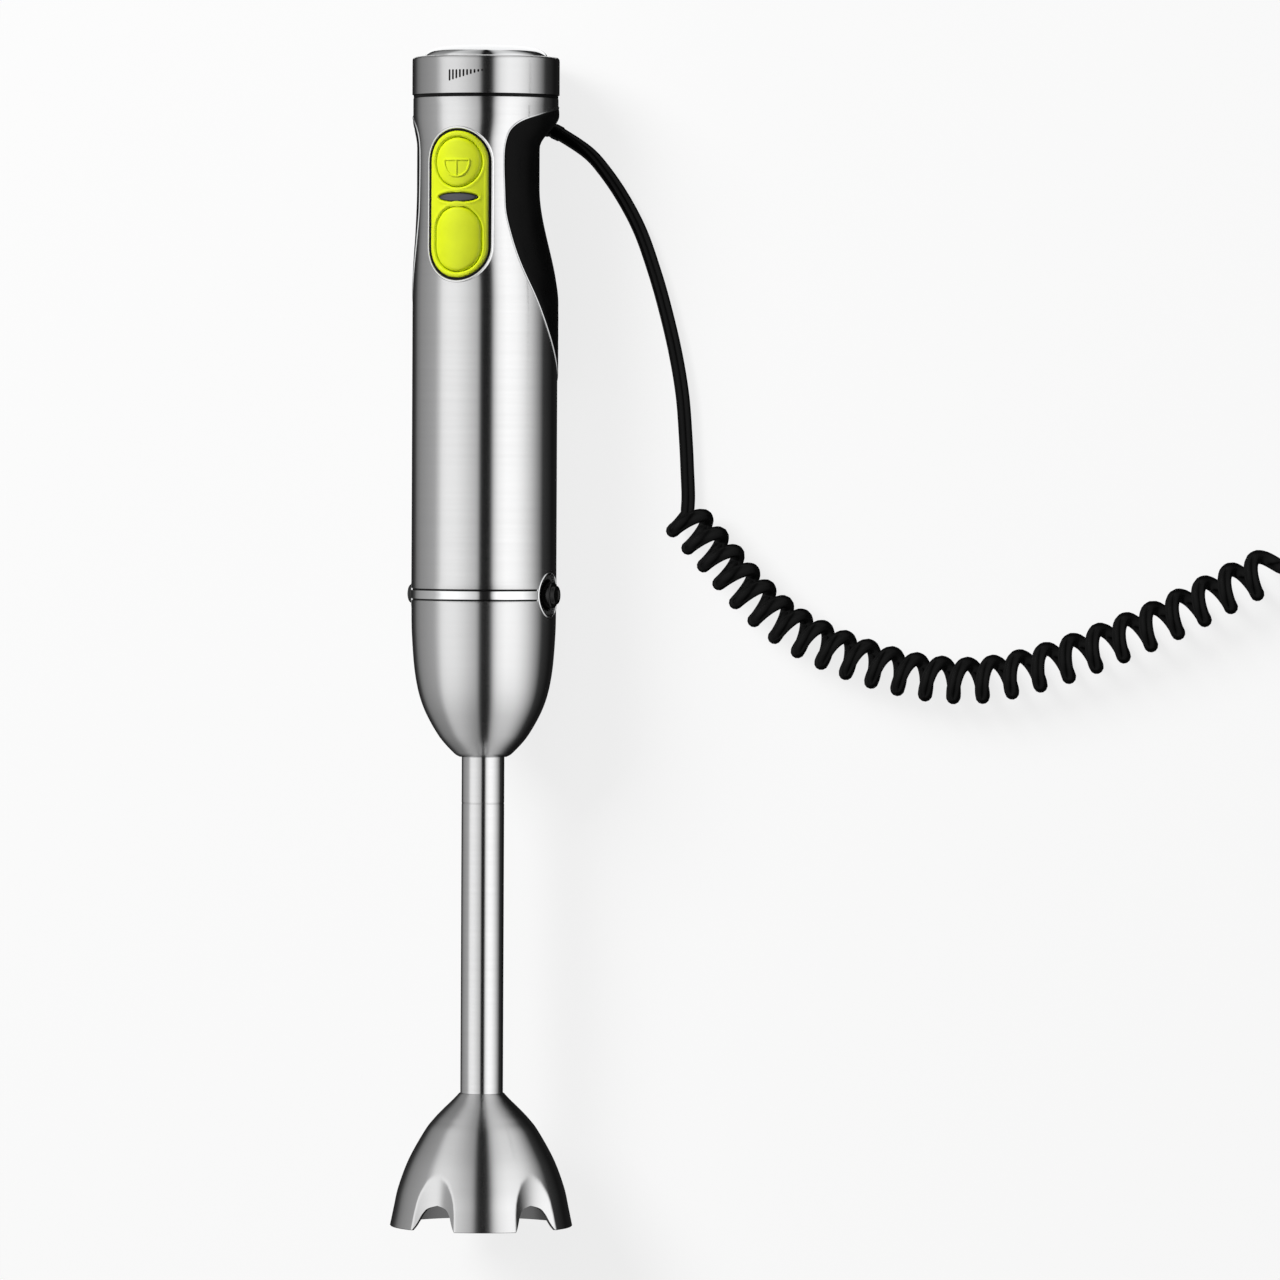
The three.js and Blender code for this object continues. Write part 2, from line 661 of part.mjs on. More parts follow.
function addFoot(parent) {
  add(parent, "foot_cone", footCone(), brushedSteel());
  add(parent, "foot_collar", footCollar(), blackPlastic());
  add(parent, "shaft_tube", sleeve(6.1, TUBE_R, TUBE_BOTTOM, TUBE_TOP, 30), brushedSteel());
  add(parent, "bell_guard", bellGuard(), brushedSteel());
  const bush = (bottom, top) => sleeve(SHAFT_R + GAP, BUSH_R, bottom, top);
  add(parent, "upper_bush", bush(UPPER_BUSH_BOTTOM, UPPER_BUSH_TOP), brass());
  add(parent, "lower_bush", bush(SEAL_TOP + GAP, LOWER_BUSH_TOP), brass());
  add(parent, "shaft_seal", bush(SEAL_BOTTOM, SEAL_TOP), blackRubber());
  add(parent, "drive_shaft", disc(SHAFT_R, SHAFT_BOTTOM, SHAFT_TOP), darkSteel());
  add(parent, "driven_coupling", drivenCoupling(), whitePlastic());
  add(parent, "blade_hub", sleeve(SHAFT_R + GAP, 5.2, HUB_BOTTOM, HUB_TOP), darkSteel());
  add(parent, "blade", blade(), polishedSteel());
  add(parent, "blade_nut", hexagon(3, 4.8, NUT_BOTTOM, NUT_TOP), darkSteel());
}

// A cup on the drive shaft with a six-sided socket for the motor's tongue.
function drivenCoupling() {
  const cup = turned([
    [SHAFT_R + GAP, CUP_BOTTOM], [6.4, CUP_BOTTOM], [6.4, CUP_TOP], [0, CUP_TOP],
    [0, SHAFT_TOP + GAP], [SHAFT_R + GAP, SHAFT_TOP + GAP],
  ]);
  return cut(cup, hexagon(0, 4, SOCKET_BOTTOM, CUP_TOP + CUT_MARGIN));
}

// A disc on the motor's shaft with a six-sided tongue.
function driveCoupling() {
  const plate = disc(6.2, DRIVE_COUPLING_BOTTOM, DRIVE_COUPLING_TOP);
  const tongue = hexagon(0, 3.6, TONGUE_BOTTOM, DRIVE_COUPLING_BOTTOM + 1);
  const hole = disc(
    MOTOR_SHAFT_R + GAP, MOTOR_SHAFT_BOTTOM - GAP, DRIVE_COUPLING_TOP + CUT_MARGIN,
  );
  return cut(joined(plate, tongue), hole);
}

function addMotor(parent) {
  const round = (radius, bottom, top) => sleeve(MOTOR_SHAFT_R + GAP, radius, bottom, top);
  const motorShaft = disc(MOTOR_SHAFT_R, MOTOR_SHAFT_BOTTOM, MOTOR_SHAFT_TOP);
  add(parent, "motor_shaft", motorShaft, darkSteel());
  add(parent, "armature", armature(), darkSteel());
  add(parent, "commutator", round(COMMUTATOR_R, COMMUTATOR_BOTTOM, COMMUTATOR_TOP), copper());
  add(parent, "cooling_fan", coolingFan(), blackPlastic());
  add(parent, "drive_coupling", driveCoupling(), whitePlastic());
  add(parent, "stator", stator(), darkSteel());
  for (const [word, side] of [["left", -1], ["right", 1]]) {
    add(parent, `field_coil_${word}`, fieldCoil(side), copper());
    add(parent, `brush_holder_${word}`, brushHolder(side), brass());
  }
  const ends = [
    ["lower", LOWER_BEARING_BOTTOM, LOWER_MOUNT_BOTTOM, MOUNT_LENGTHS[0]],
    ["upper", UPPER_BEARING_BOTTOM, UPPER_MOUNT_BOTTOM, MOUNT_LENGTHS[1]],
  ];
  for (const [word, low, mountLow, mountLength] of ends) {
    const bearing = round(BEARING_R, low, low + BEARING_LENGTH);
    const bracketLow = low + 0.5;
    const bracket = sleeve(BEARING_R + GAP, 19.4, bracketLow, bracketLow + BRACKET_THICK);
    const mount = sleeve(15, 21, mountLow, mountLow + mountLength);
    add(parent, `bearing_${word}`, bearing, polishedSteel());
    add(parent, `motor_bracket_${word}`, bracket, whitePlastic());
    add(parent, `motor_mount_${word}`, mount, blackRubber());
  }
}

function addBody(parent) {
  add(parent, "body_shell", bodyShell(), brushedSteel());
  add(parent, "rear_grip", rearGrip(), blackRubber());
  add(parent, "chassis_front", chassisHalf(true), blackPlastic());
  add(parent, "chassis_rear", chassisHalf(false), blackPlastic());
  add(parent, "trim_band", trimBand(), polishedSteel());
  add(parent, "base_plate", sleeve(7, 23.2, BASE_BOTTOM, BASE_TOP), blackPlastic());
  add(parent, "latch_frame", sleeve(13.1, 17.4, LATCH_BOTTOM, LATCH_TOP), whitePlastic());
  for (const [word, side] of [["left", -1], ["right", 1]]) {
    add(parent, `release_plate_${word}`, releasePlate(side), blackPlastic());
    add(parent, `release_button_${word}`, releaseButton(side), blackRubber());
  }
}

function addControls(parent) {
  add(parent, "button_frame", buttonFrame(), blackPlastic());
  add(parent, "button_panel", buttonPanel(), yellowRubber());
  add(parent, "power_button", frontButton(powerSpace(-0.35), POWER_Z), yellowRubber());
  add(parent, "turbo_button", frontButton(turboSpace(-0.35), TURBO_Z), yellowRubber());
  add(parent, "indicator_lens", indicatorLens(), smokedLens());
  add(parent, "control_board", block([-8, BOARD_FRONT, 326], [8, BOARD_BACK, 374]), greenBoard());
  const switchBack = BOARD_FRONT - GAP;
  for (const [name, z] of [["power_switch", POWER_Z], ["turbo_switch", TURBO_Z]]) {
    const low = [-SWITCH_HALF, SWITCH_FRONT, z - SWITCH_HALF];
    const high = [SWITCH_HALF, switchBack, z + SWITCH_HALF];
    add(parent, name, block(low, high), blackPlastic());
  }
}

function addHead(parent) {
  add(parent, "dial_ring", dialRing(), brushedSteel());
  add(parent, "dial_cap", dialCap(), polishedSteel());
  add(parent, "dial_carrier", dialCarrier(), blackPlastic());
  add(parent, "glide_ring", sleeve(20.4, 23.4, 386.6, 389.4, AROUND), blackPlastic());
  add(parent, "head_plate", sleeve(3.4, 23.2, 383.4, 386.2, AROUND), blackPlastic());
  add(parent, "potentiometer", disc(7, POT_BOTTOM, POT_TOP), darkSteel());
}

function addCord(parent) {
  add(parent, "cord_lead", tube(LEAD_PATH, CORD_R, 17), blackRubber());
  add(parent, "cord_curl", tube(CURL_PATH, CURL_R, 12, 12), blackRubber());
  add(parent, "cord_tail", tube(TAIL_PATH, CORD_R, 12), blackRubber());
  add(parent, "plug_body", plugBody(), blackPlastic()).position.copy(PLUG);
  for (const [word, side] of [["left", 1], ["right", -1]]) {
    const pin = add(parent, `plug_pin_${word}`, plugPin(), brass());
    pin.position.set(PLUG.x + PLUG_LENGTH + GAP, PLUG.y + side * PIN_OFFSET, PLUG.z);
  }
}

const blender = new THREE.Group();
addFoot(blender);
addMotor(blender);
addBody(blender);
addControls(blender);
addHead(blender);
add(blender, "cord_strain_relief", strainRelief(), blackRubber());

// Upright to lying: the axis tips a little towards the head, and the front faces up.
const headwards = new THREE.Vector3(Math.cos(LIE_ANGLE), 0, -Math.sin(LIE_ANGLE));
const rightwards = new THREE.Vector3(0, -1, 0);
const backwards = new THREE.Vector3().crossVectors(headwards, rightwards);
const lying = new THREE.Matrix4().makeBasis(rightwards, backwards, headwards);
lying.setPosition(-MIDDLE, 0, BELL_R * Math.cos(LIE_ANGLE));
blender.applyMatrix4(lying);

const table = new THREE.Group();
addCord(table);

const object = new THREE.Group();
object.add(blender, table);

export default object;
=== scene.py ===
"""The looks of an immersion blender that lies on its back on a table, with a curly mains cord.

The blender's pieces are built upright in millimetres, as it stands on its bell: the axis is Z, the
rim of the bell is at z = 0, the buttons face -Y and its right side is +X. The matrix LYING lays
them down in the row frame. The cord and its plug are built in the row frame itself.
"""

import json
import math

import bmesh
import bpy
import numpy as np
from mathutils import Matrix, Vector
from mathutils.geometry import delaunay_2d_cdt


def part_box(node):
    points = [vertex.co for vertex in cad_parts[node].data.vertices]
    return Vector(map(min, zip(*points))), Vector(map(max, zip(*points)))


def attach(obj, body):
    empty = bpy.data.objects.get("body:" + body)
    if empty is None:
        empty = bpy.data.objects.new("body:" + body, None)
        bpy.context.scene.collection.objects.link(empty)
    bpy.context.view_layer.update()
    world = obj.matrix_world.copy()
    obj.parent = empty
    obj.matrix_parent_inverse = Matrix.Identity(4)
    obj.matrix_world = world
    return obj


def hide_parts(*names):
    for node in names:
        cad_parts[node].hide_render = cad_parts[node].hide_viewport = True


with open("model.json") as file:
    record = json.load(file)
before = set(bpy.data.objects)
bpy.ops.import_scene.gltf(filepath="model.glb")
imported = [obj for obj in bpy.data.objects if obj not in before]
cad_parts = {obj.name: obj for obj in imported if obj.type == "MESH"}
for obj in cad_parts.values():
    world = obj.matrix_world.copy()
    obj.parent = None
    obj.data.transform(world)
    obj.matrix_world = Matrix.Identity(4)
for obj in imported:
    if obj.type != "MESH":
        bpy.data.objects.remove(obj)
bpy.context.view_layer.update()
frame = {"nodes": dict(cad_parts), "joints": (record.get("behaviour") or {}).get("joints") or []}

MM = 0.001

# ---- Driving dimensions, as in the CAD, in millimetres ----

BODY_R = 25.0
SHEET = 1.2
RING_R = 25.35
TUBE_R = 7.35
TUBE_BOTTOM = 34.0
CONE_BOTTOM = 162.0
TUBE_TOP = 198.0
CONE_TOP = 216.0
BAND_BOTTOM = 216.5
BAND_TOP = 219.5
BODY_BOTTOM = 220.0
BODY_TOP = 388.75
RING_BOTTOM = 389.75
RING_TOP = 402.9
APEX = 407.0
WAIST_START, WAIST_FULL, WAIST_FULL_TOP, WAIST_END = 317.0, 358.0, 371.5, 383.0
WAIST_SIDE, WAIST_BACK = 0.152, 0.256
PANEL_WIDTH, PANEL_HEIGHT, PANEL_Z = 21.5, 50.3, 351.8
POWER_R, POWER_Z = 8.65, 366.2
LENS_Z, LENS_HALF, LENS_HALF_HEIGHT = 354.2, 7.35, 1.62
TURBO_WIDTH, TURBO_HEIGHT, TURBO_Z = 17.3, 22.7, 339.9
RELEASE_Z, RELEASE_RING_R, RELEASE_R = 218.0, 8.05, 4.5
RELEASE_OUT = 27.4
SCALLOPS = 5
FIRST_SCALLOP = -10.4
CORD_R = 2.4
CURL_R = 5.8                  # from the curl's middle line to the cord's own middle

# ---- Where the blender lies ----

dial_joint = next(j for j in frame["joints"] if j["name"] == "speed_dial")
HEADWARDS = Vector(dial_joint["axis"]).normalized()
RIGHTWARDS = Vector((0, -1, 0))
BACKWARDS = HEADWARDS.cross(RIGHTWARDS)
DIAL_JOINT_Z = 395.0
ORIGIN = Vector(dial_joint["pos_m"]) - HEADWARDS * DIAL_JOINT_Z * MM
TURNED_DOWN = Matrix((RIGHTWARDS, BACKWARDS, HEADWARDS)).transposed().to_4x4()
LYING = Matrix.Translation(ORIGIN) @ TURNED_DOWN


def placed(name, data):
    """A new object in the scene."""
    obj = bpy.data.objects.new(name, data)
    bpy.context.scene.collection.objects.link(obj)
    return obj


# ---- Camera ----

CAMERA_AZIMUTH = math.radians(23)      # from the buttons towards the blender's right
CAMERA_DISTANCE = 3093.0               # from the axis
CAMERA_HEIGHT = 276.0                  # above the bell's rim
CAMERA_AIM = Vector((-0.374516, 0.926916, -0.023764))
CAMERA_ROLL = math.radians(0.275)
LENS_MM = 252.28


def add_camera():
    data = bpy.data.cameras.new("camera")
    data.lens = LENS_MM
    data.sensor_width = 36
    data.clip_start, data.clip_end = 0.05, 50
    camera = placed("camera", data)
    forward = CAMERA_AIM.normalized()
    up = (Vector((0, 0, 1)) - forward * forward.z).normalized()
    side = forward.cross(up)
    rolled_up = up * math.cos(CAMERA_ROLL) - side * math.sin(CAMERA_ROLL)
    rolled_side = forward.cross(rolled_up)
    turn = Matrix((rolled_side, rolled_up, -forward)).transposed().to_4x4()
    place = Vector((
        CAMERA_DISTANCE * math.sin(CAMERA_AZIMUTH),
        -CAMERA_DISTANCE * math.cos(CAMERA_AZIMUTH),
        CAMERA_HEIGHT,
    )) * MM
    camera.matrix_world = LYING @ Matrix.Translation(place) @ turn
    bpy.context.scene.camera = camera


add_camera()

# ---- Materials ----


class Surface:
    """A Principled material whose nodes are added a step at a time. Lengths are in metres."""

    def __init__(self, name, colour, roughness, metallic=0.0, **sockets):
        self.material = bpy.data.materials.new(name)
        self.material.use_nodes = True
        self.nodes = self.material.node_tree.nodes
        self.links = self.material.node_tree.links
        self.shader = self.nodes["Principled BSDF"]
        self.shader.inputs["Base Color"].default_value = (*colour, 1)
        self.shader.inputs["Roughness"].default_value = roughness
        self.shader.inputs["Metallic"].default_value = metallic
        for socket, value in sockets.items():
            self.shader.inputs[socket.replace("_", " ")].default_value = value
        self.colour, self.roughness = colour, roughness
        self.place = self.nodes.new("ShaderNodeTexCoord").outputs["Object"]

    def node(self, kind, **inputs):
        """A new node. Its inputs are other nodes' outputs or plain values."""
        node = self.nodes.new("ShaderNode" + kind)
        for name, value in inputs.items():
            socket = node.inputs[name.replace("_", " ")]
            if isinstance(value, bpy.types.NodeSocket):
                self.links.new(value, socket)
            else:
                socket.default_value = value
        return node

    def noise(self, scale, detail=4.0, roughness=0.5, seed=0.0):
        """A noise pattern. scale is features per metre, along x, y and z."""
        scales = scale if hasattr(scale, "__len__") else (scale,) * 3
        start = (seed, seed * 1.7, seed * 0.6)
        place = self.node("Mapping", Location=start, Scale=scales, Vector=self.place).outputs[0]
        return self.node(
            "TexNoise", Scale=1.0, Detail=detail, Roughness=roughness, Vector=place).outputs["Fac"]

    def spread(self, pattern, low, high, from_low=0.3, from_high=0.7):
        """The pattern, stretched from low to high."""
        return self.node(
            "MapRange", From_Min=from_low, From_Max=from_high, To_Min=low, To_Max=high,
            Value=pattern).outputs["Result"]

    def vary_roughness(self, pattern, amount):
        low, high = self.roughness - amount, self.roughness + amount
        self.links.new(self.spread(pattern, low, high), self.shader.inputs["Roughness"])
        return self

    def vary_colour(self, pattern, darker, lighter):
        """Base colour from darker to lighter times the material's colour."""
        ramp = self.node("ValToRGB", Fac=pattern)
        for element, at, factor in zip(ramp.color_ramp.elements, (0.3, 0.7), (darker, lighter)):
            element.position = at
            element.color = (*(min(c * factor, 1) for c in self.colour), 1)
        self.links.new(ramp.outputs["Color"], self.shader.inputs["Base Color"])
        return self

    def bump(self, pattern, depth):
        """Bumps of that depth in metres."""
        node = self.node("Bump", Strength=1.0, Distance=depth, Height=pattern)
        self.links.new(node.outputs["Normal"], self.shader.inputs["Normal"])
        return self

    def vector_math(self, operation, vector):
        node = self.nodes.new("ShaderNodeVectorMath")
        node.operation = operation
        self.links.new(vector, node.inputs[0])
        return node

    def painted_shade_inside(self, share):
        """Painted shade: that share of the colour where the surface faces the axis."""
        outwards = self.vector_math("MULTIPLY", self.place)
        outwards.inputs[1].default_value = (1, 1, 0)
        facing = self.vector_math("DOT_PRODUCT", outwards.outputs["Vector"])
        normal = self.nodes.new("ShaderNodeTexCoord").outputs["Normal"]
        self.links.new(normal, facing.inputs[1])
        base = self.shader.inputs["Base Color"]
        shade = self.vector_math("SCALE", base.links[0].from_socket)
        inside = self.spread(facing.outputs["Value"], share, 1.0, -0.002, 0.0)
        self.links.new(inside, shade.inputs["Scale"])
        self.links.new(shade.outputs["Vector"], base)
        return self

    def brushed_round_axis(self, anisotropy):
        tangent = self.nodes.new("ShaderNodeTangent")
        tangent.direction_type = "RADIAL"
        tangent.axis = "Z"
        self.links.new(tangent.outputs["Tangent"], self.shader.inputs["Tangent"])
        self.shader.inputs["Anisotropic"].default_value = anisotropy
        self.shader.inputs["Anisotropic Rotation"].default_value = 0.25
        return self


def steel(name, colour, roughness, streaks, anisotropy, depth, inside=1.0):
    """Steel brushed round the axis. streaks is how strong its streaks are, and inside how much of
    its colour is left on the side that faces the axis, as painted shade."""
    s = Surface(name, colour, roughness, 1.0)
    fine = s.noise((22, 22, 5200), 5, 0.6, 3.1)
    broad = s.noise((14, 14, 700), 3, 0.5, 8.3)
    s.vary_roughness(fine, 0.09 * streaks)
    s.vary_colour(broad, 1 - 0.07 * streaks, 1 + 0.04 * streaks)
    s.bump(fine, depth)
    # Painted shade on the side that faces the axis.
    s.painted_shade_inside(inside)
    return s.brushed_round_axis(anisotropy).material


BODY_STEEL = steel("brushed_steel_body", (0.67, 0.67, 0.672), 0.2, 0.3, 0.9, 4e-7)
RING_STEEL = steel("brushed_steel_ring", (0.6, 0.6, 0.602), 0.22, 0.15, 0.9, 2e-7)
# The foot's steel keeps a fifth of its colour where it faces the axis: painted shade inside the
# bell and the cone.
FOOT_STEEL = steel("brushed_steel_foot", (0.65, 0.65, 0.652), 0.23, 0.14, 0.87, 2e-7, 0.2)
TUBE_STEEL = steel("brushed_steel_tube", (0.67, 0.67, 0.672), 0.2, 0.35, 0.9, 6e-7)
BRIGHT_STEEL = steel("polished_steel_trim", (0.78, 0.785, 0.79), 0.1, 0.3, 0.0, 2e-7)
TRIM_STEEL = steel("mirror_steel", (0.86, 0.865, 0.87), 0.035, 0.05, 0.0, 1e-7)
BLADE_STEEL = steel("ground_steel", (0.72, 0.725, 0.73), 0.16, 0.5, 0.3, 6e-7)
# Nearly white steel on the panel's rolled lip, lighter than the body's steel: a painted highlight.
RIM_HIGHLIGHT_STEEL = steel("satin_rim_steel_painted_highlight", (0.93, 0.93, 0.93), 0.36, 0.2, 0.0, 3e-7)
DARK_STEEL = steel("machined_steel", (0.42, 0.43, 0.44), 0.32, 1.0, 0.3, 1.5e-6)


def soft_black(name, colour, roughness, grain, depth, specular=0.5):
    """Black rubber or plastic. grain is its pattern's features per metre."""
    s = Surface(name, (colour,) * 3, roughness, Specular_IOR_Level=specular)
    fine = s.noise(grain, 4, 0.6, 1.3)
    broad = s.noise(grain / 30, 3, 0.5, 5.9)
    s.vary_roughness(broad, 0.05)
    s.vary_colour(broad, 0.8, 1.25)
    return s.bump(fine, depth).material


GRIP_RUBBER = soft_black("grip_rubber", 0.003, 0.3, 3600, 6e-6, 0.07)
CORD_RUBBER = soft_black("cord_rubber", 0.003, 0.24, 2600, 5e-6, 0.09)
BLACK_PLASTIC = soft_black("black_plastic", 0.003, 0.32, 3000, 6e-6, 0.12)
GLOSSY_BLACK = soft_black("black_button_plastic", 0.002, 0.12, 2500, 2e-6, 0.45)
MOUNT_RUBBER = soft_black("mount_rubber", 0.02, 0.6, 3000, 1e-5)

yellow = Surface("yellow_rubber", (0.74, 0.85, 0.006), 0.36, Specular_IOR_Level=0.35)
yellow.vary_colour(yellow.noise(160, 3, 0.5, 2.2), 0.96, 1.03)
yellow.vary_roughness(yellow.noise(700, 3, 0.5, 6.2), 0.05)
YELLOW = yellow.bump(yellow.noise(4200, 4, 0.6, 4.4), 6e-6).material

lens = Surface("smoked_lens", (0.024, 0.025, 0.033), 0.14, Coat_Weight=0.6, Coat_Roughness=0.06)
lens.vary_colour(lens.noise((90, 90, 700), 3, 0.5, 7.7), 0.7, 1.5)
LENS = lens.vary_roughness(lens.noise(900, 2, 0.5, 1.1), 0.03).material


def metal(name, colour, roughness, grain=1800):
    s = Surface(name, colour, roughness, 1.0)
    s.vary_colour(s.noise(grain / 10, 3, 0.5, 9.1), 0.85, 1.08)
    s.vary_roughness(s.noise(grain, 4, 0.6, 3.3), 0.08)
    return s.bump(s.noise(grain, 4, 0.6, 3.3), 3e-6).material


COPPER = metal("copper_windings", (0.72, 0.36, 0.16), 0.34)
BRASS = metal("brass", (0.74, 0.58, 0.28), 0.3)
NICKEL = metal("nickel_pin", (0.75, 0.72, 0.66), 0.22)


def moulded(name, colour, roughness=0.45):
    s = Surface(name, colour, roughness)
    s.vary_colour(s.noise(120, 3, 0.5, 2.7), 0.9, 1.06)
    s.vary_roughness(s.noise(600, 3, 0.5, 5.1), 0.05)
    return s.bump(s.noise(2400, 4, 0.6, 8.8), 6e-6).material


WHITE_PLASTIC = moulded("white_plastic", (0.72, 0.7, 0.65))
BOARD = moulded("circuit_board", (0.02, 0.12, 0.045), 0.4)

# ---- Mesh tools ----


def new_mesh(name, points, faces, scale=MM):
    """A clean mesh from points in millimetres, or in metres with scale=1."""
    mesh = bpy.data.meshes.new(name)
    mesh.from_pydata([tuple(float(c) * scale for c in p) for p in points], [], faces)
    b = bmesh.new()
    b.from_mesh(mesh)
    bmesh.ops.remove_doubles(b, verts=b.verts, dist=1e-6)
    bmesh.ops.dissolve_degenerate(b, edges=b.edges, dist=1e-7)
    bmesh.ops.recalc_face_normals(b, faces=b.faces)
    b.to_mesh(mesh)
    b.free()
    return mesh


def new_object(name, points, faces):
    return placed(name, new_mesh(name, points, faces))


def carved(obj, *cutters, operation="DIFFERENCE"):
    """obj with the cutters taken away. The cutters are used up."""
    for cutter in cutters:
        modifier = obj.modifiers.new("cut", "BOOLEAN")
        modifier.operation = operation
        modifier.solver = "MANIFOLD"
        modifier.object = cutter
    bpy.context.view_layer.update()
    graph = bpy.context.evaluated_depsgraph_get()
    mesh = bpy.data.meshes.new_from_object(obj.evaluated_get(graph))
    obj.modifiers.clear()
    obj.data = mesh
    for cutter in cutters:
        bpy.data.objects.remove(cutter)
    return obj


def united(obj, *others):
    """obj with the others added. The others are used up."""
    return carved(obj, *others, operation="UNION")


def finish_piece(obj, material, body, replaces=(), crease=32.0, upright=True):
    """Gives a piece its material and smooth shading, and has it ride on its body."""
    obj.data.materials.clear()
    obj.data.materials.append(material)
    obj.data.shade_smooth()
    obj.data.set_sharp_from_angle(angle=math.radians(crease))
    if upright:
        obj.matrix_world = LYING
    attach(obj, body)
    if replaces:
        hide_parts(*replaces)
    return obj


def ring_faces(rings, around, closed_profile=False):
    """Four-sided faces between rings of as many points each."""
    faces = []
    for i in range(rings if closed_profile else rings - 1):
        j = (i + 1) % rings
        for k in range(around):
            n = (k + 1) % around
            faces.append((i * around + k, i * around + n, j * around + n, j * around + k))
    return faces


def loft(name, rings, closed_profile=False, caps=False):
    """A surface through closed rings of as many points each."""
    around = len(rings[0])
    points = np.concatenate([np.asarray(r, float) for r in rings])
    faces = ring_faces(len(rings), around, closed_profile)
    if caps:
        faces.append(tuple(range(around)))
        faces.append(tuple(range(len(points) - around, len(points))))
    return new_object(name, points, faces)


def waist_at(z):
    """0 where the body is a plain cylinder, 1 where the waist is deepest."""
    z = np.asarray(z, float)

    def step(low, high):
        t = np.clip((z - low) / (high - low), 0, 1)
        return t * t * (3 - 2 * t)

    return step(WAIST_START, WAIST_FULL) - step(WAIST_FULL_TOP, WAIST_END)


def squeezed(points):
    points = np.array(points, float)
    waist = waist_at(points[:, 2])
    points[:, 0] *= 1 - WAIST_SIDE * waist
    points[:, 1] = (points[:, 1] + BODY_R) * (1 - WAIST_BACK * waist) - BODY_R
    return points


def rounded(corners, radii, steps=5):
    """A closed outline of [radius, height] corners, each rounded by its own radius."""
    corners = [np.array(c, float) for c in corners]
    outline = []
    for i, corner in enumerate(corners):
        before, after = corners[i - 1] - corner, corners[(i + 1) % len(corners)] - corner
        radius = radii[i] if hasattr(radii, "__len__") else radii
        if radius <= 0:
            outline.append(corner)
            continue
        to_before, to_after = np.linalg.norm(before), np.linalg.norm(after)
        a, b = before / to_before, after / to_after
        half = math.acos(max(-1, min(1, float(a @ b)))) / 2
        back = min(radius / math.tan(half), 0.49 * to_before, 0.49 * to_after)
        start, end = corner + a * back, corner + b * back
        for t in np.linspace(0, 1, steps + 1):
            outline.append((1 - t) ** 2 * start + 2 * t * (1 - t) * corner + t * t * end)
    return outline


def full_turn(count):
    """Angles spread evenly over a whole turn."""
    return np.arange(count) * 2 * math.pi / count


def circle(radius, z, around):
    """Points round the axis at that height."""
    angles = full_turn(around)
    return np.stack([radius * np.sin(angles), -radius * np.cos(angles), np.full(around, z)], 1)


def turned(name, outline, around, closed=True):
    """A solid of revolution round the axis, from an outline of [radius, height] points."""
    return loft(name, [circle(radius, z, around) for radius, z in outline], closed)


def catmull(points, count):
    """Points spread by parameter along a smooth curve through the points."""
    points = np.array(points, float)
    last = len(points) - 1
    out = []
    for t in np.linspace(0, last, count):
        i = min(int(t), last - 1)
        w = t - i
        p0, p1, p2, p3 = points[max(i - 1, 0)], points[i], points[i + 1], points[min(i + 2, last)]
        v0, v1 = (p2 - p0) / 2, (p3 - p1) / 2
        cubic, square = 2 * p1 - 2 * p2 + v0 + v1, -3 * p1 + 3 * p2 - 2 * v0 - v1
        out.append(cubic * w ** 3 + square * w * w + v0 * w + p1)
    return np.array(out)


def evenly(points, count, closed=False):
    """The line again, with count points evenly apart."""
    points = np.array(points, float)
    if closed:
        points = np.concatenate([points, points[:1]])
    along = np.concatenate([[0], np.cumsum(np.linalg.norm(np.diff(points, axis=0), axis=1))])
    at = np.linspace(0, along[-1], count, endpoint=not closed)
    return np.stack([np.interp(at, along, points[:, k]) for k in range(points.shape[1])], 1)


def inset(loop, distance):
    """A closed plane outline, moved inwards by the distance. It runs anticlockwise."""
    ahead, behind = np.roll(loop, -1, 0), np.roll(loop, 1, 0)
    along = ahead - behind
    along /= np.maximum(np.linalg.norm(along, axis=1), 1e-9)[:, None]
    return loop + distance * np.stack([-along[:, 1], along[:, 0]], 1)


def sweep(name, line, radius, sides):
    """A round rod along a line. radius may be one number or one for each point."""
    line = np.asarray(line, float)
    radii = np.broadcast_to(radius, len(line))
    tangents = np.gradient(line, axis=0)
    tangents /= np.linalg.norm(tangents, axis=1)[:, None]
    normal = np.cross(tangents[0], (0.3, 0.5, 0.8))
    angles = full_turn(sides)
    rings = []
    for point, tangent, r in zip(line, tangents, radii):
        normal = normal - tangent * (normal @ tangent)
        normal /= np.linalg.norm(normal)
        other = np.cross(tangent, normal)
        spokes = np.outer(np.cos(angles), normal) + np.outer(np.sin(angles), other)
        rings.append(point + r * spokes)
    return loft(name, rings, caps=True)


# ---- Cord ----

# The strain relief's middle line, in the blender's own upright millimetres.
BOOT_PATH = [
    (-2.5, 16.3, 376.2), (1.5, 17.6, 377.6), (6.5, 19.9, 378.8), (10.5, 21.7, 379.3),
    (14.5, 22.7, 378.7), (18.4, 23.1, 377),
]
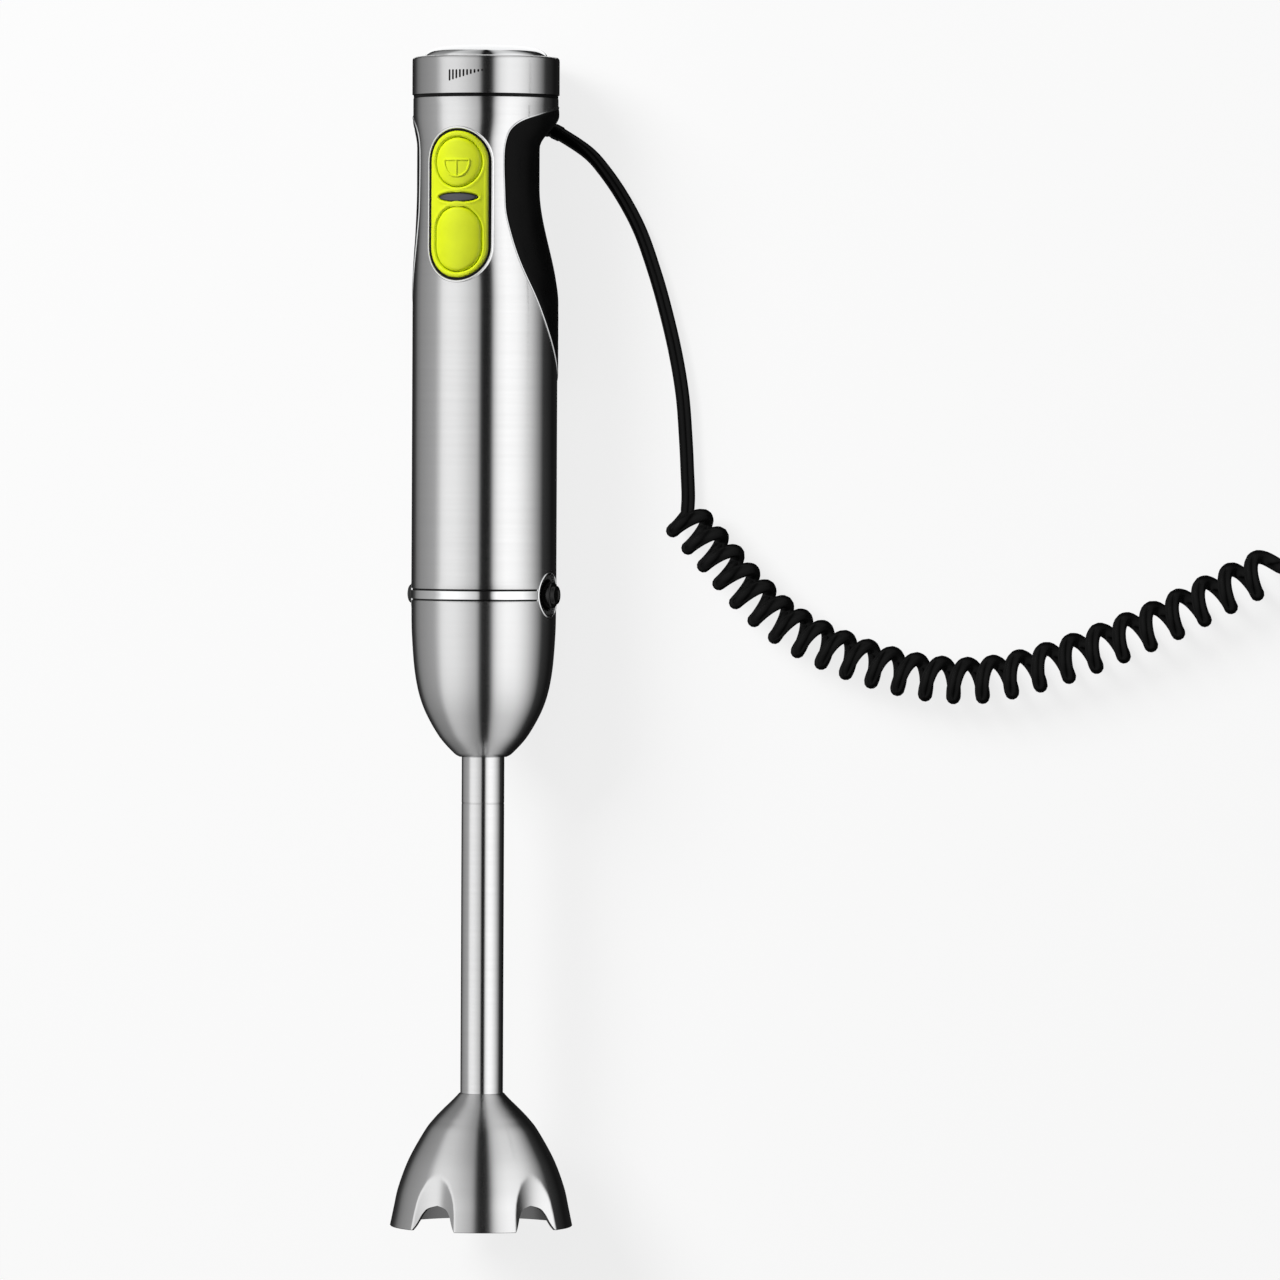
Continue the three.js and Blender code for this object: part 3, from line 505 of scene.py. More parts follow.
# The cord's route on the table, in millimetres of the row frame.
LEAD_PATH = [
    (173.2, -20, 2.5), (167.4, -28.3, 2.5), (161.1, -34.5, 2.5), (151.4, -41.6, 2.5),
    (139.7, -48.1, 2.5), (125.6, -53.4, 2.5), (112.8, -57.3, 2.5), (98, -61, 2.5),
    (83.2, -63.6, 2.5), (68.4, -64.8, 2.5), (56.5, -65.4, 2.5), (48.4, -65.7, 2.5),
]
CURL_PATH = [
    (42.6, -65.3), (27.2, -80), (14.9, -91.8), (4.3, -105.4), (-3.5, -121.8), (-9.1, -139.2),
    (-12.5, -156.9), (-12.7, -176.1), (-8.3, -196.8), (-1.4, -217), (7, -238), (16.5, -258),
    (25.2, -276), (31, -288),
]
TAIL_PATH = [
    (36.4, -297, 2.6), (41.5, -304, 2.5), (48.5, -311, 2.5), (58, -317.5, 2.5), (70, -322.5, 2.5),
    (84, -325.4, 2.5), (98, -326, 2.6), (108, -326, 3.2), (118, -326, 5.2), (128, -326, 6.8),
    (133, -326, 7),
]
FIRST_PITCH, LAST_PITCH = 8.1, 10.3
LOOSE_FROM = 0.6              # the share of the curl from where its pitch stays the same
FIRST_ANGLE = 0.5             # in turns from the top of the first turn
OPENING = 16.0                # the curl opens out into the tail over its last millimetres
OPENING_PITCH = 2.2           # how much longer the pitch gets there
POINTS_PER_TURN = 24
LYING_LOW = 2.5               # height of the cord's middle where it lies on the table


def curl_line():
    """The curly stretch: a left-handed winding that lies on the table along CURL_PATH."""
    path = evenly(catmull(CURL_PATH, 400), 1200)
    steps = np.linalg.norm(np.diff(path, axis=0), axis=1)
    along = np.concatenate([[0], np.cumsum(steps)])
    total = along[-1]

    def at(distance):
        return np.array([np.interp(distance, along, path[:, k]) for k in range(2)])

    points, s, turn = [], 0.0, FIRST_ANGLE
    while s < total:
        ahead = at(min(s + 1, total)) - at(max(s - 1, 0))
        ahead /= np.linalg.norm(ahead)
        across = np.array([-ahead[1], ahead[0]])
        left = min(1.0, (total - s) / OPENING)
        radius = CURL_R * left * left * (3 - 2 * left)
        angle = 2 * math.pi * turn
        flat = at(s) + across * radius * math.sin(angle)
        points.append((*flat, LYING_LOW + radius + radius * math.cos(angle)))
        looser = min(s / total / LOOSE_FROM, 1)
        pitch = FIRST_PITCH + (LAST_PITCH - FIRST_PITCH) * looser
        pitch *= 1 + OPENING_PITCH * (1 - left)
        turn += 1 / POINTS_PER_TURN
        s += pitch / POINTS_PER_TURN
    return np.array(points)


def add_cord():
    curl = curl_line()
    in_boot = [tuple(LYING @ (Vector(p) * MM) / MM) for p in BOOT_PATH[-2:]]
    lead = evenly(catmull([*in_boot, *LEAD_PATH[1:], tuple(curl[0])], 260), 100)
    tail = evenly(catmull([tuple(curl[-1]), *TAIL_PATH], 200), 60)
    line = np.concatenate([lead[:-1], curl, tail[1:]]) * MM
    data = bpy.data.curves.new("cord", "CURVE")
    data.dimensions = "3D"
    spline = data.splines.new("POLY")
    spline.points.add(len(line) - 1)
    for point, place in zip(spline.points, line):
        point.co = (*place, 1)
    data.bevel_depth = CORD_R * MM
    data.bevel_resolution = 4
    data.use_fill_caps = True
    data.materials.append(CORD_RUBBER)
    cord = placed("cord", data)
    cord.visible_glossy = False
    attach(cord, "handle")
    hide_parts("cord_lead", "cord_curl", "cord_tail")
    return cord, tuple(line[0])


cord, cord_exit = add_cord()

# ---- Stage and light ----


def glowing(name, brightness, strength=1.0):
    """A material that only gives light."""
    material = bpy.data.materials.new(name)
    material.use_nodes = True
    nodes, links = material.node_tree.nodes, material.node_tree.links
    nodes.clear()
    out, glow = nodes.new("ShaderNodeOutputMaterial"), nodes.new("ShaderNodeEmission")
    glow.inputs["Color"].default_value = (brightness, brightness, brightness, 1)
    glow.inputs["Strength"].default_value = strength
    links.new(glow.outputs[0], out.inputs["Surface"])
    return material


def add_stage(name, points, faces, material, hidden_from, height=0.0):
    """A piece of the studio, in metres, that those rays pass through."""
    obj = placed(name, new_mesh(name, points, faces, 1.0))
    obj.location.z = height
    obj.data.materials.append(material)
    for ray in hidden_from:
        setattr(obj, "visible_" + ray, False)


def add_floor():
    """A pale floor that glows, so that shadows on it stay faint."""
    size = 20.0
    corners = [(-size, -size, 0), (size, -size, 0), (size, size, 0), (-size, size, 0)]
    pale = Surface(
        "pale_floor", (0.17, 0.17, 0.17), 0.7, Specular_IOR_Level=0.0, Emission_Strength=0.81,
        Emission_Color=(1, 1, 1, 1),
    )
    pale.vary_colour(pale.noise(6, 3, 0.5, 1.9), 0.995, 1.005)
    add_stage("floor", corners, [(0, 1, 2, 3)], pale.material, ["glossy"], -0.0002)


def add_backdrop():
    """A pale wall with a ceiling, far off all round. Only the camera sees it."""
    radius, height, around = 19.0, 14.0, 96
    points = np.concatenate([circle(radius, z, around) for z in (-0.1, height)])
    ceiling = tuple(range(around, 2 * around))
    unseen_by = ["glossy", "diffuse", "transmission", "shadow", "volume_scatter"]
    faces = [*ring_faces(2, around), ceiling]
    add_stage("backdrop", points, faces, glowing("pale_backdrop", 0.84), unseen_by)


def add_card():
    """A white card just below the floor, beyond the head. Only reflections see it, and not the
    floor above it: it brightens the dial's cap."""
    low_x, high_x, low_y, high_y = 0.2045, 0.34, -0.022, 0.052
    corners = [(low_x, low_y, 0), (high_x, low_y, 0), (high_x, high_y, 0), (low_x, high_y, 0)]
    unseen_by = ["camera", "diffuse", "transmission", "shadow", "volume_scatter"]
    white = glowing("white_card", 1.0, 1.15)
    add_stage("card", corners, [(0, 1, 2, 3)], white, unseen_by, -0.0006)


# How bright the surroundings are, by the angle round the axis, in degrees from the camera's side
# towards the blender's right: two large soft boxes with a gap between them, which is wider towards
# the head and the foot.
SURROUNDINGS = [
    (-180, 0.02), (-152, 0.03), (-142, 0.08), (-134, 0.22), (-121, 0.34), (-99, 0.44),
    (-84, 0.52), (-76, 0.78), (-70, 1.1), (-60, 1.22), (-45, 1.2), (-32, 1.04), (-20, 0.82),
    (-12, 0.66), (-8, 0.4), (-6, 0.05), (-2, 0.015), (6, 0.015), (9.5, 0.05), (12, 0.45),
    (16, 0.95), (22, 1.3), (34, 1.5), (50, 1.42), (60, 1.24), (70, 1.0), (80, 0.72), (90, 0.44),
    (99, 0.22), (105, 0.05), (135, 0.01), (180, 0.02),
]
# How bright they are by the share of the way towards the head (1) or the foot (-1).
ALONG_AXIS = [
    (-0.95, 0.42), (-0.75, 0.56), (-0.3, 0.92), (-0.15, 1), (0.3, 1), (0.6, 0.82), (0.8, 0.6),
    (1, 0.5),
]
GAP_WIDENS = 0.4              # how much wider the gap gets towards the head and the foot


def add_world():
    """Surroundings that only reflections see: the lamps and the floor light the rest."""
    world = bpy.data.worlds.new("studio")
    bpy.context.scene.world = world
    world.use_nodes = True
    world.cycles_visibility.diffuse = False
    nodes, links = world.node_tree.nodes, world.node_tree.links
    nodes.clear()
    direction = nodes.new("ShaderNodeTexCoord").outputs["Generated"]

    def fed(kind, operation, *values):
        """A new node's outputs. Its inputs are other nodes' outputs or plain values."""
        node = nodes.new(kind)
        if operation:
            node.operation = operation
        for socket, value in zip(node.inputs, values):
            if isinstance(value, bpy.types.NodeSocket):
                links.new(value, socket)
            else:
                socket.default_value = value
        return node.outputs

    def dot(x, y, z):
        return fed("ShaderNodeVectorMath", "DOT_PRODUCT", direction, (x, y, z))["Value"]

    def curve(table, low, high, value):
        """The table as a ramp over low to high. Its brightness is halved, as a ramp ends at 1."""
        ramp = nodes.new("ShaderNodeValToRGB")
        elements = ramp.color_ramp.elements
        while len(elements) > 1:
            elements.remove(elements[-1])
        for i, (place, light) in enumerate(table):
            at = (place - low) / (high - low)
            element = elements[0] if i == 0 else elements.new(at)
            element.position = at
            element.color = (light / 2, light / 2, light / 2, 1)
        links.new(fed("ShaderNodeMapRange", None, value, low, high)[0], ramp.inputs["Fac"])
        return ramp.outputs["Color"]

    sine = dot(0, -math.cos(CAMERA_AZIMUTH), -math.sin(CAMERA_AZIMUTH))
    cosine = dot(0, -math.sin(CAMERA_AZIMUTH), math.cos(CAMERA_AZIMUTH))
    lengthwise = dot(1, 0, 0)
    slant = fed("ShaderNodeMath", "ABSOLUTE", lengthwise)[0]
    widened = fed("ShaderNodeMath", "MULTIPLY_ADD", slant, GAP_WIDENS, cosine)[0]
    angle = fed("ShaderNodeMath", "ARCTAN2", sine, widened)[0]
    degrees = fed("ShaderNodeMath", "DEGREES", angle)[0]
    around = curve(SURROUNDINGS, -180, 180, degrees)
    along = curve(ALONG_AXIS, -1, 1, lengthwise)
    # Both curves are halved, so the strength is four times what the second one says.
    strength = fed("ShaderNodeMath", "MULTIPLY", along, 4.0)[0]
    glow = fed("ShaderNodeBackground", None, around, strength)[0]
    links.new(glow, nodes.new("ShaderNodeOutputWorld").inputs["Surface"])


def add_soft_light(name, place, width, watts):
    """A large square light that is seen in no reflection, aimed at the object."""
    data = bpy.data.lights.new(name, "AREA")
    data.shape = "SQUARE"
    data.size = width
    data.energy = watts
    light = placed(name, data)
    light.location = place
    light.rotation_mode = "QUATERNION"
    light.rotation_quaternion = (-Vector(place)).to_track_quat("-Z", "Y")
    light.visible_camera = False
    light.visible_glossy = False


add_floor()
add_backdrop()
add_world()
add_card()
add_soft_light("overhead", (0.0, 0.0, 3.2), 4.0, 28)
add_soft_light("key", (1.7, 1.6, 1.9), 1.6, 100)
bpy.context.scene.view_settings.view_transform = "Standard"

# ---- Places on the body ----


def prism(loop, axis, low, high):
    """A solid with a plane outline: in y and z along x, or in x and z along y."""
    flat, z = np.asarray(loop, float).T
    rings = []
    for t in (low, high):
        level = np.full(len(z), float(t))
        columns = (level, flat, z) if axis == "x" else (flat, level, z)
        rings.append(np.stack(columns, 1))
    return loft("cutter", rings, caps=True)


def joined(name, objects):
    """Several pieces' meshes as one object."""
    b = bmesh.new()
    for obj in objects:
        b.from_mesh(obj.data)
        bpy.data.objects.remove(obj)
    mesh = bpy.data.meshes.new(name)
    b.to_mesh(mesh)
    b.free()
    return placed(name, mesh)


def front_points(flat, out):
    """Points on the body's front from [x, z] points, that far outside the steel."""
    flat = np.asarray(flat, float)
    waist = waist_at(flat[:, 1])
    x = flat[:, 0] / (1 - WAIST_SIDE * waist)
    y = -np.sqrt((BODY_R + out) ** 2 - x * x)
    y = (y + BODY_R) * (1 - WAIST_BACK * waist) - BODY_R
    return np.stack([flat[:, 0], y, flat[:, 1]], 1)


def stadium(width, height, middle, inwards=0.0, count=96):
    """An upright slot with round ends, anticlockwise, as [x, z] points."""
    r = width / 2
    straight = max(height / 2 - r, 0)
    shrunk = max(r - inwards, 0)
    along = 24 if straight > 0 else 0
    turn = np.linspace(0, math.pi, (count - 2 * along) // 2 + 1)
    top = np.stack([shrunk * np.cos(turn), middle + straight + shrunk * np.sin(turn)], 1)
    bottom = np.stack([-shrunk * np.cos(turn), middle - straight - shrunk * np.sin(turn)], 1)
    if not along:
        return np.concatenate([top[:-1], bottom[:-1]])
    down = np.linspace(straight, -straight, along + 1)[1:-1]
    left = np.stack([np.full(len(down), -shrunk), middle + down], 1)
    right = np.stack([np.full(len(down), shrunk), middle - down], 1)
    return np.concatenate([top, left, bottom, right])


def slot_outline(width, height, middle, count=96):
    """A slot's outline as a function of how far inwards it is drawn."""
    return lambda inwards=0.0: stadium(width, height, middle, inwards, count)


def lens_outline(inwards=0.0, count=96):
    """A long ellipse, as [x, z] points."""
    turn = full_turn(count)
    half, rise = LENS_HALF - inwards, LENS_HALF_HEIGHT - inwards
    return np.stack([half * np.cos(turn), LENS_Z + rise * np.sin(turn)], 1)


def front_piece(name, outline, profile, closed=True):
    """A piece on the front, from an outline and a profile of (inwards, out) steps."""
    return loft(name, [front_points(outline(inwards), out) for inwards, out in profile], closed)


def inside(points, loop):
    """Which points are inside a plane outline."""
    x, y = points[:, 0], points[:, 1]
    hit = np.zeros(len(points), bool)
    for (ax, ay), (bx, by) in zip(loop, np.roll(loop, -1, 0)):
        if ay != by:
            crosses = (ay > y) != (by > y)
            hit ^= crosses & (x < (bx - ax) * (y - ay) / (by - ay) + ax)
    return hit


def flat_patch(name, outer, holes, out, spacing):
    """The front's surface between an outline and the holes in it, with a grid of points."""

    def on_patch(places):
        kept = inside(places, outer)
        for hole in holes:
            kept &= ~inside(places, hole)
        return kept

    loops = [outer, *holes]
    steps = [np.arange(low, high, spacing) for low, high in zip(outer.min(0), outer.max(0))]
    grid = np.stack(np.meshgrid(*steps), -1).reshape(-1, 2)
    edge = np.concatenate(loops)
    away = np.sqrt(((grid[:, None] - edge[None]) ** 2).sum(2)).min(1)
    grid = grid[on_patch(grid) & (away > 0.6 * spacing)]
    points = np.concatenate([edge, grid])
    edges, start = [], 0
    for loop in loops:
        n = len(loop)
        edges += [(start + i, start + (i + 1) % n) for i in range(n)]
        start += n
    flat, _, faces, *_ = delaunay_2d_cdt([Vector(p) for p in points], edges, [], 0, 1e-7)
    flat = np.array([tuple(p) for p in flat])
    kept = on_patch(np.array([flat[list(f)].mean(0) for f in faces]))
    return new_object(name, front_points(flat, out), [f for f, k in zip(faces, kept) if k])


def side_ring(radius, out, side, count=96):
    """A circle on the body's side round a release button."""
    turn = full_turn(count)
    y = radius * np.cos(turn)
    x = side * np.sqrt((BODY_R + out) ** 2 - y * y)
    return np.stack([x, y, RELEASE_Z + radius * np.sin(turn)], 1)


def side_rooms(width):
    """Round room for a release button through each side."""
    hole = stadium(width, width, RELEASE_Z)
    start, end = 17, 30
    return prism(hole, "x", start, end), prism(hole, "x", -end, -start)


# The grip's outline, seen from the side, as [y, z] points.
GRIP_EDGE = [
    (28, 387.6), (6.8, 385.6), (-8, 383.2), (-16.8, 379.6), (-19.5, 372), (-19.5, 356),
    (-18.9, 346.4), (-15.9, 333.3), (-10.9, 322), (-1.5, 306.4), (10, 293.5), (28, 281.5),
]
GRIP_LEFT_SHIFT = 2.2         # the left edge lies that much further back
GRIP_SPREAD_R = 22.0          # the radius that the grip's outline is unrolled on


def grip_edge(side, count):
    """The grip's outline on the left (-1) or the right (1), as [y, z] points."""
    edge = catmull(GRIP_EDGE, count)
    if side < 0:
        edge[:, 0] += GRIP_LEFT_SHIFT
    return edge


def grip_rooms(margin):
    """Room for the grip, in two halves that overlap a little."""
    right, left = (inset(grip_edge(side, 240)[::-1], -margin) for side in (1, -1))
    return prism(right, "x", -0.01, 30), prism(left, "x", -30, 0.01)


def unrolled_grip():
    """The grip's outline round the back, unrolled: [distance from the back's middle, z]."""
    halves = []
    for side in (1, -1):
        edge = grip_edge(side, 1200)
        waist = waist_at(edge[:, 1])
        cosine = -((edge[:, 0] + BODY_R) / (1 - WAIST_BACK * waist) - BODY_R) / BODY_R
        on_body = cosine > -1
        angle = np.arccos(np.clip(cosine[on_body], -1, 1))
        halves.append(np.stack([side * GRIP_SPREAD_R * (math.pi - angle), edge[on_body][:, 1]], 1))
    return evenly(np.concatenate([halves[0], halves[1][::-1]]), 288, closed=True)


def grip_points(flat, out):
    angle = math.pi - flat[:, 0] / GRIP_SPREAD_R
    r = BODY_R + out
    return squeezed(np.stack([r * np.sin(angle), -r * np.cos(angle), flat[:, 1]], 1))


# ---- Body ----

PANEL_GAP = 0.8               # black line round the yellow panel


def add_body_shell():
    bevel = 0.3
    eased = 0.3 * bevel
    levels = list(np.linspace(BODY_BOTTOM + bevel, BODY_TOP - bevel, 57))
    outer = [(BODY_R - bevel, BODY_BOTTOM), (BODY_R - eased, BODY_BOTTOM + eased)]
    outer += [(BODY_R, z) for z in levels]
    outer += [(BODY_R - eased, BODY_TOP - eased), (BODY_R - bevel, BODY_TOP)]
    inner = [(BODY_R - SHEET, z) for z in (BODY_TOP, *levels[::-1], BODY_BOTTOM)]
    rings = [squeezed(circle(radius, z, 240)) for radius, z in outer + inner]
    shell = loft("body_steel", rings, True)
    window = prism(stadium(PANEL_WIDTH + 2.8, PANEL_HEIGHT + 2.8, PANEL_Z), "y", -30, -12)
    carved(shell, window, *grip_rooms(0.2), *side_rooms(2 * RELEASE_RING_R + 0.6))
    finish_piece(shell, BODY_STEEL, "handle", ["body_shell"])


def lip_profile(middle, out, radius):
    """A circle of (inwards, out) steps."""
    return [(middle + radius * math.cos(t), out + radius * math.sin(t)) for t in full_turn(12)]


def add_lips():
    """The rolled steel edges round the panel and along the grip. The panel's lip is painted nearly
    white, as a highlight.
    """
    outline = slot_outline(PANEL_WIDTH, PANEL_HEIGHT, PANEL_Z)
    lip = front_piece("panel_lip", outline, lip_profile(-PANEL_GAP - 0.42, -0.05, 0.45))
    # The panel's lip is painted nearly white, as a highlight.
    finish_piece(lip, RIM_HIGHLIGHT_STEEL, "handle", crease=180)
    loop = unrolled_grip()
    rings = [grip_points(inset(loop, -i), out) for i, out in lip_profile(0.25, -0.1, 0.38)]
    lip = loft("grip_lip", rings, True)
    finish_piece(lip, BRIGHT_STEEL, "handle", crease=180)


def add_grip():
    """The grip: a rounded edge, then rings that close in on a line down the back's middle."""
    under, over = -1.3, 0.3
    profile = [(0.0, under), (0.0, -0.45), (0.12, -0.22), (0.35, -0.02), (0.75, 0.14), (1.3, 0.24),
               (2.0, 0.29), (2.9, over)]
    loop = unrolled_grip()
    rings = [grip_points(inset(loop, -i), out) for i, out in profile]
    last = inset(loop, -profile[-1][0])
    low, high = loop[:, 1].min() + 14, loop[:, 1].max() - 12
    spine = np.stack([np.zeros(len(last)), np.clip(last[:, 1], low, high)], 1)
    for t in np.linspace(0, 1, 15)[1:]:
        rings.append(grip_points(last * (1 - t) + spine * t, over))
    back = [grip_points(loop * (1 - t) + spine * t, under) for t in (1, 0.5)]
    grip = loft("grip", [*back, *rings])
    finish_piece(grip, GRIP_RUBBER, "handle", ["rear_grip"], crease=50)


def hoop(name, inner, outer, low, high, bevel, around, steps=5):
    """A flat ring round the axis with rounded edges."""
    corners = [(inner, low), (outer, low), (outer, high), (inner, high)]
    return turned(name, rounded(corners, bevel, steps), around)


def add_trim():
    """The bright band with its two rings, and a black ring behind the gaps above and below it,
    which is painted shade in those gaps.
    """
    band = hoop("trim", 23.6, 25.1, BAND_BOTTOM, BAND_TOP, 0.3, 240)
    carved(band, *side_rooms(2 * RELEASE_RING_R - 0.8))
    profile = [(8.2, -1.6), (8.2, 0.0), (8.1, 0.17), (7.85, 0.26), (7.65, 0.2), (7.5, 0.02),
               (7.45, -0.2), (7.45, -1.6)]
    rings = [
        loft("ring", [side_ring(radius, out, side) for radius, out in profile], True)
        for side in (-1, 1)
    ]
    trim = joined("trim", [band, *rings])
    finish_piece(trim, TRIM_STEEL, "handle", ["trim_band"], crease=40)
    # A black ring standing in for the shade in the gaps round the band: painted shade.
    joint_shade_ring = hoop("joint_shadow", 23.5, 24.6, 215.4, 220.6, 0.1, 160, 2)
    carved(joint_shade_ring, *side_rooms(13.6))
    finish_piece(joint_shade_ring, BLACK_PLASTIC, "handle")


RIDGES = 30


def add_release(side, word):
    """One release button with the ridged washer round it, on the left (-1) or the right (1)."""
    count = RIDGES * 8
    ridge = 0.5 + 0.5 * np.cos(full_turn(count) * RIDGES)
    rings = []
    for radius, out, height in (
        (4.9, -2.2, 0), (4.9, -1.35, 0), (5.1, -1.1, 0.1), (5.5, -0.95, 0.3), (6.6, -0.7, 0.35),
        (7.1, -0.65, 0.05), (8.6, -1.3, 0.0), (8.6, -2.2, 0),
    ):
        rings.append(side_ring(radius, out + height * ridge, side, count))
    washer = loft("release_washer_" + word, rings, True)
    finish_piece(washer, GLOSSY_BLACK, "handle", ["release_plate_" + word], 60)
    step = RELEASE_OUT - 1.2
    outline = rounded([
        (0, 20.5), (RELEASE_R, 20.5), (RELEASE_R, step), (RELEASE_R - 1.2, step),
        (RELEASE_R - 1.3, RELEASE_OUT), (RELEASE_R - 2.2, RELEASE_OUT),
        (RELEASE_R - 2.9, RELEASE_OUT - 0.35), (0, RELEASE_OUT - 0.45),
    ], [0, 0.3, 0.5, 0.25, 0.35, 0.3, 0.5, 0])
    button = turned("release_" + word, outline, 96, closed=False)
    turn = Matrix.Rotation(side * math.pi / 2, 4, "Y")
    button.data.transform(Matrix.Translation((0, 0, RELEASE_Z * MM)) @ turn)
    button.data.update()
    name = "release_button_" + word
    finish_piece(button, GLOSSY_BLACK, name, [name], crease=40)


# ---- Button panel ----

BUTTON_GAP = 0.26
PANEL_OUT = 0.2               # how far the panel stands out of the steel
# The panel's rounded edge, as (inwards, out) steps.
EDGE = [
    (1.6, 0.0), (1.35, 0.04), (1.1, 0.13), (0.85, 0.17), (0.6, 0.13), (0.4, 0.0), (0.2, -0.22),
    (0.06, -0.44), (0.0, -0.6), (0.0, -1.5),
]


power_outline = slot_outline(2 * POWER_R, 2 * POWER_R, POWER_Z)
turbo_outline = slot_outline(TURBO_WIDTH, TURBO_HEIGHT, TURBO_Z)
panel_outline = slot_outline(PANEL_WIDTH, PANEL_HEIGHT, PANEL_Z, 192)


def add_panel():
    """The yellow panel, the dark frame round it and the dark floor under it."""
    holes = [power_outline, turbo_outline, lens_outline]
    under = EDGE[-1][1] + PANEL_OUT
    parts = []
    for inwards, out, spacing in ((EDGE[0][0], PANEL_OUT, 0.9), (0, under, 2.5)):
        loops = [hole(-inwards) for hole in holes]
        parts.append(flat_patch("patch", panel_outline(inwards), loops, out, spacing))
    for outline, way in ((panel_outline, 1), *((hole, -1) for hole in holes)):
        profile = [(way * i, out + PANEL_OUT) for i, out in EDGE]
        parts.append(front_piece("edge", outline, profile, False))
    panel = joined("panel", parts)
    b = bmesh.new()
    b.from_mesh(panel.data)
    bmesh.ops.remove_doubles(b, verts=b.verts, dist=2e-6)
    bmesh.ops.recalc_face_normals(b, faces=b.faces)
    b.to_mesh(panel.data)
    b.free()
    finish_piece(panel, YELLOW, "handle", ["button_panel"], crease=60)
    far, near = -PANEL_GAP - 0.3, -PANEL_GAP
    profile = [(far, -1.5), (far, -0.12), (near, -0.06), (-0.1, -0.06), (0.0, -0.12), (0.0, -1.5)]
    edge = front_piece("panel_edge", panel_outline, profile)
    finish_piece(edge, BLACK_PLASTIC, "handle", ["button_frame"], crease=50)
    floor = prism(stadium(PANEL_WIDTH + 0.6, PANEL_HEIGHT + 0.6, PANEL_Z), "y", -22.4, -22.2)
    floor.name = "panel_floor"
    finish_piece(floor, BLACK_PLASTIC, "handle")


def add_button(name, outline, half_width, dome, body):
    """A button's cap with a rounded edge. The dome rises that far above the edge."""
    widest = half_width - BUTTON_GAP
    profile = [(widest, -2.6), (0, -2.6), (0.0, -0.6), (0.08, -0.3), (0.25, -0.02), (0.5, 0.2),
               (0.9, 0.38), (1.5, 0.48)]
    start, low = profile[-1]
    for t in np.linspace(0, 1, 9)[1:]:
        profile.append((start + (widest - start) * t, low + dome * (1 - (1 - t) ** 2)))

    def shrunk(inwards):
        return outline(inwards + BUTTON_GAP)

    button = front_piece(name, shrunk, profile, False)
    finish_piece(button, YELLOW, body, [body], crease=60)


def add_icon():
    """A plain sign, raised on the round button: half a ring, a bar across it and an upright."""
    half, drop, bead = 4.55, 5.6, 0.45
    fullness = 0.88               # below 1, the half ring is fuller than an ellipse
    bar = POWER_Z + 0.8
    turn = np.linspace(math.pi, 2 * math.pi, 40)
    across, down = np.cos(turn), np.abs(np.sin(turn))
    lines = [
        np.stack([half * np.sign(across) * np.abs(across) ** fullness,
                  bar - drop * down ** fullness], 1),
        np.stack([np.linspace(-half, half, 20), np.full(20, bar)], 1),
        np.stack([np.zeros(14), np.linspace(bar, bar - drop, 14)], 1),
    ]
    at_edge, at_middle, sunk = 0.5, 0.9, 0.14
    beads = []
    for line in lines:
        from_middle = np.hypot(line[:, 0], line[:, 1] - POWER_Z) / (POWER_R - 1.3)
        rise = 1 - np.clip(from_middle, 0, 1) ** 2
        out = at_edge + (at_middle - at_edge) * rise - sunk
        points = np.array([front_points([p], o)[0] for p, o in zip(line, out)])
        beads.append(sweep("line", points, bead, 12))
    finish_piece(joined("on_sign", beads), YELLOW, "power_button", crease=70)


def add_lens():
    def shrunk(inwards):
        return lens_outline(inwards + 0.3)

    profile = [(1.5, -1.3), (0, -1.3), (0, -0.12), (0.1, 0.02), (0.3, 0.1), (0.7, 0.16),
               (1.1, 0.18), (1.56, 0.2)]
    glass = front_piece("lens", shrunk, profile, False)
    finish_piece(glass, LENS, "handle", ["indicator_lens"], crease=60)


# ---- Dial ----

MARKS = 10
FIRST_MARK, MARK_STEP = -6.5, 2.93     # degrees round from the front, towards the right
MARK_TOP, MARK_LONG, MARK_SHORT, MARK_WIDTH = 397.9, 3.9, 0.62, 0.66


def add_dial():
    ring = turned("dial_ring_steel", rounded([
        (23.9, RING_BOTTOM + 0.1), (RING_R, RING_BOTTOM + 0.1), (RING_R, RING_TOP),
        (21.4, RING_TOP), (21.4, RING_TOP - 1.7), (23.9, RING_TOP - 1.7),
    ], [0.1, 0.12, 1.5, 0.3, 0.1, 0.1], 8), 256)
    finish_piece(ring, RING_STEEL, "dial", ["dial_ring"], crease=50)
    dome = catmull([
        (21.2, 402.9), (20.85, 403.7), (20.1, 404.55), (19.2, 405.15), (18, 405.65), (16, 406.15),
        (12.7, 406.6), (8, 406.87), (4, 406.98), (0, APEX)], 60)
    outline = [(0, 401.4), (21.1, 401.4), (21.2, 402.4), *dome]
    cap = turned("dial_cap_steel", outline, 256, closed=False)
    finish_piece(cap, BRIGHT_STEEL, "dial", ["dial_cap"], crease=50)
    marks = []
    for i in range(MARKS):
        tall = MARK_LONG + (MARK_SHORT - MARK_LONG) * i / (MARKS - 1)
        angle = math.radians(FIRST_MARK + MARK_STEP * i)
        loops = []
        for inwards, out in ((0, -0.1), (0, 0.02), (0.05, 0.04), (MARK_WIDTH / 2, 0.04)):
            flat = stadium(MARK_WIDTH, max(tall, MARK_WIDTH), MARK_TOP - tall / 2, inwards, 72)
            turn = angle + flat[:, 0] / RING_R
            r = RING_R + out
            loops.append(np.stack([r * np.sin(turn), -r * np.cos(turn), flat[:, 1]], 1))
        marks.append(loft("mark", loops))
    finish_piece(joined("dial_marks", marks), BLACK_PLASTIC, "dial", crease=50)
    # A black ring standing in for the shade in the gap under the dial: painted shade.
    gap_shade = hoop("dial_gap_shade", 23.5, 24.9, 388.78, 389.7, 0.05, 160, 2)
    finish_piece(gap_shade, BLACK_PLASTIC, "handle")


# ---- Foot ----


